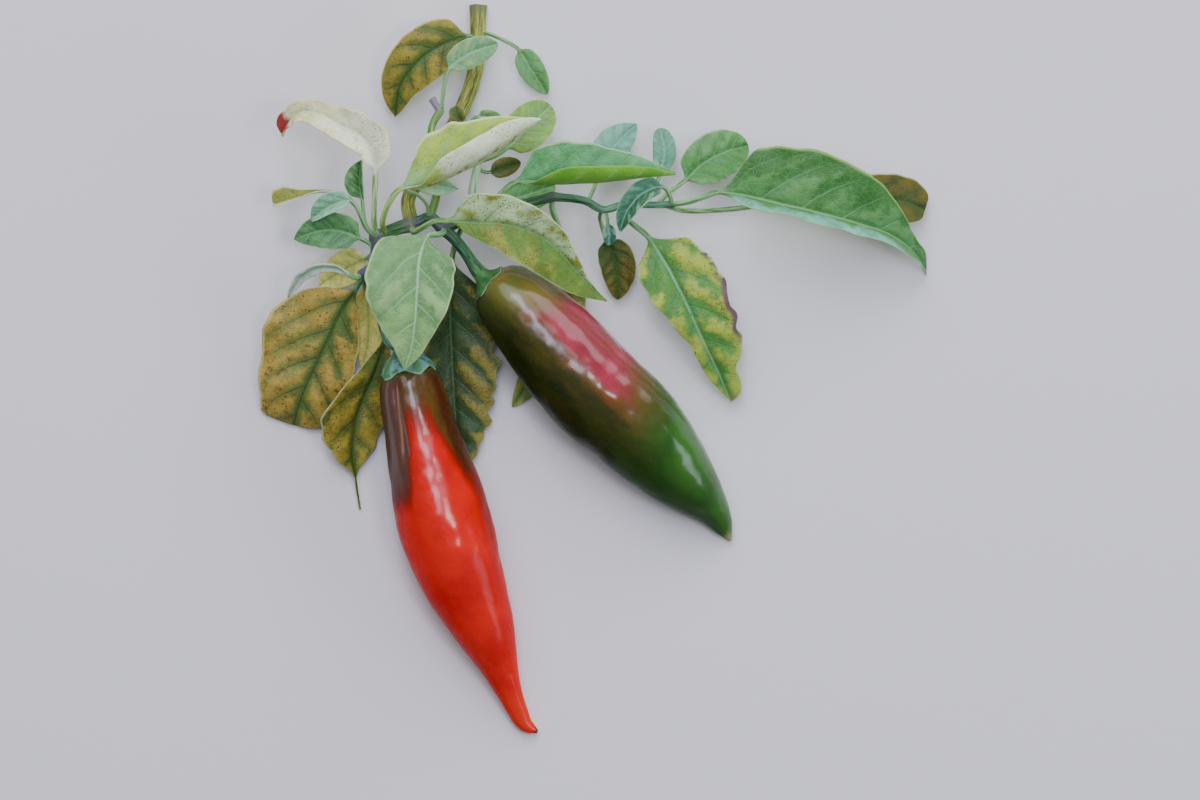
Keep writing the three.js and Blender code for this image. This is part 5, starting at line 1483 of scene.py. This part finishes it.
def limb_points(path, radius_at, start, end, round_start, round_end):
    """Points along a limb, with a round end where one is asked for."""
    count = max(8, round(path.length * (end - start) / LIMB_STEP))
    rows = []
    for step in range(count + 1):
        share = blend(start, end, step / count)
        from_end = min(share, 1 - share) * path.length
        near = math.exp(-(from_end / 2.6) ** 2)
        rows.append((path.place(share), radius_at(share), share * path.length, near))
    if round_start:
        rows = round_cap(rows[0], -path.along(start))[::-1] + rows
    if round_end:
        rows = rows + round_cap(rows[-1], path.along(end))
    return rows


def round_cap(row, outward):
    place, radius, way, near = row
    cap = []
    for step in range(1, CAP_STEPS + 1):
        angle = math.pi / 2 * step / CAP_STEPS
        there = place + outward * (radius * math.sin(angle))
        cap.append((there, max(radius * math.cos(angle), 0.02), way, near))
    return cap


def make_limb(name, route, radii, group):
    """A tapering limb, a little uneven and swollen at its nodes, with five ridges, or four on a thin one."""
    path = Path(route)

    def radius_at(share):
        from_end = min(share, 1 - share) * path.length
        swelling = 0.14 * math.exp(-from_end * from_end * 0.25)
        uneven = 0.05 * noise.noise(Vector((share * path.length * 0.22, radii[0], 3)))
        return blend(*radii, share) * (1 + swelling + uneven)

    points = limb_points(path, radius_at, 0, 1, name != "main_stem", name != "broken_stub")
    grow_limb(name, points, group, 5 if radii[0] > 1.5 else 4, LIMB_RIDGE)


def make_fruit_stalk(stalk, group):
    """A pepper's own stalk, thicker at its foot and where it meets the calyx."""
    body = Path(FRUITS[stalk["fruit"]]["axis"])
    path = Path([*stalk["route"], *(neck_place(stalk, body, height) for height in NECK_POINTS)])

    def radius_at(share):
        foot = 0.22 * math.exp(-(share * path.length / 2.4) ** 2)
        seat = 0.35 * math.exp(-(((1 - share) * path.length - 3) / 3.4) ** 2)
        return stalk["radius"] * (0.94 + foot + seat)

    points = limb_points(path, radius_at, 0, 1 - STALK_STOPS / path.length, True, True)
    grow_limb(stalk["name"], points, group, 6, STALK_RIDGE)


def make_cut_face():
    """The pale wood at the main stem's flat cut, with a paler pith."""
    path = Path(LIMBS[0][1])
    outward = -path.along(0)
    frame = level_frame(outward)
    rings = []
    for height, size in CUT_ROWS:
        centre = path.place(0) + outward * height
        rings.append([point_about(centre, frame, size, turn) for turn in turns(CUT_SIDES)])
    places = [[(size, 0, 0)] * CUT_SIDES for height, size in CUT_ROWS]
    look = Look("cut_wood")
    size = look.stored("cut_place")[0]
    grain = look.noise(look.object_place(), 2200, 4)
    colour = look.over(
        look.mix(grain, (0.46, 0.50, 0.30), (0.58, 0.60, 0.40)),
        ((size + (grain - 0.5) * 0.6).step(1.0, 0.6), (0.66, 0.66, 0.50)),
        (size.step(2.0, 2.25), (0.14, 0.22, 0.07)),
    )
    mesh = closed_mesh("main_stem_cut", rings, {"cut_place": places})
    add_piece("main_stem_cut", mesh, "main_stem", look.finish(colour, grain * 0.2 + 0.6, grain, 0.5, 0.0002))


# The picture

def make_floor():
    mesh = bpy.data.meshes.new("floor")
    corners = [(x * FLOOR_HALF, y * FLOOR_HALF, 0) for x, y in ((-1, -1), (1, -1), (1, 1), (-1, 1))]
    mesh.from_pydata(corners, [], [(0, 1, 2, 3)])
    mesh.materials.append(Look("pale_floor", Base_Color=(0.72, 0.72, 0.71, 1), Roughness=0.8).material)
    add_object("floor", mesh)


def make_lights():
    """Soft rectangular lamps that look at the branch, and a faint even light from all round."""
    for name, place, width, length, power, colour in LAMPS:
        lamp = bpy.data.lights.new(name, "AREA")
        lamp.shape = "RECTANGLE"
        lamp.size = width
        lamp.size_y = length
        lamp.energy = power
        lamp.color = colour
        host = add_object(name, lamp)
        host.location = place
        host.rotation_euler = (-Vector(place)).to_track_quat("-Z", "Y").to_euler()
    world = bpy.data.worlds.new("studio")
    world.use_nodes = True
    world.node_tree.nodes["Background"].inputs["Color"].default_value = (0.92, 0.95, 1.0, 1)
    world.node_tree.nodes["Background"].inputs["Strength"].default_value = 0.20
    bpy.context.scene.world = world


def make_camera():
    """The photograph's own framing, straight down on the lying branch."""
    camera = bpy.data.cameras.new("camera")
    camera.sensor_width = 36
    camera.lens = CAMERA_LENS
    camera.clip_start = 0.05
    host = add_object("camera", camera)
    host.location = (-ORIGIN.x * MM, -ORIGIN.y * MM, CAMERA_HEIGHT)
    bpy.context.scene.camera = host


make_camera()
make_lights()
make_floor()
limb_group = limb_tree()
for limb in LIMBS:
    make_limb(*limb, limb_group)
make_cut_face()
for stalk in FRUIT_STALKS:
    make_fruit_stalk(stalk, limb_group)
make_calyx(FRUIT_STALKS[0], calyx_material(
    "ripe_calyx", (0.17, 0.36, 0.33), (0.05, 0.17, 0.09), (0.20, 0.38, 0.20), (0.05, 0.20, 0.03)))
make_calyx(FRUIT_STALKS[1], calyx_material(
    "unripe_calyx", (0.055, 0.19, 0.045), (0.022, 0.11, 0.028), (0.40, 0.56, 0.30), (0.04, 0.17, 0.02)))
make_fruit("red_fruit", red_skin())
make_fruit("green_fruit", green_skin())
for leaf in LEAVES:
    make_leaf(leaf)
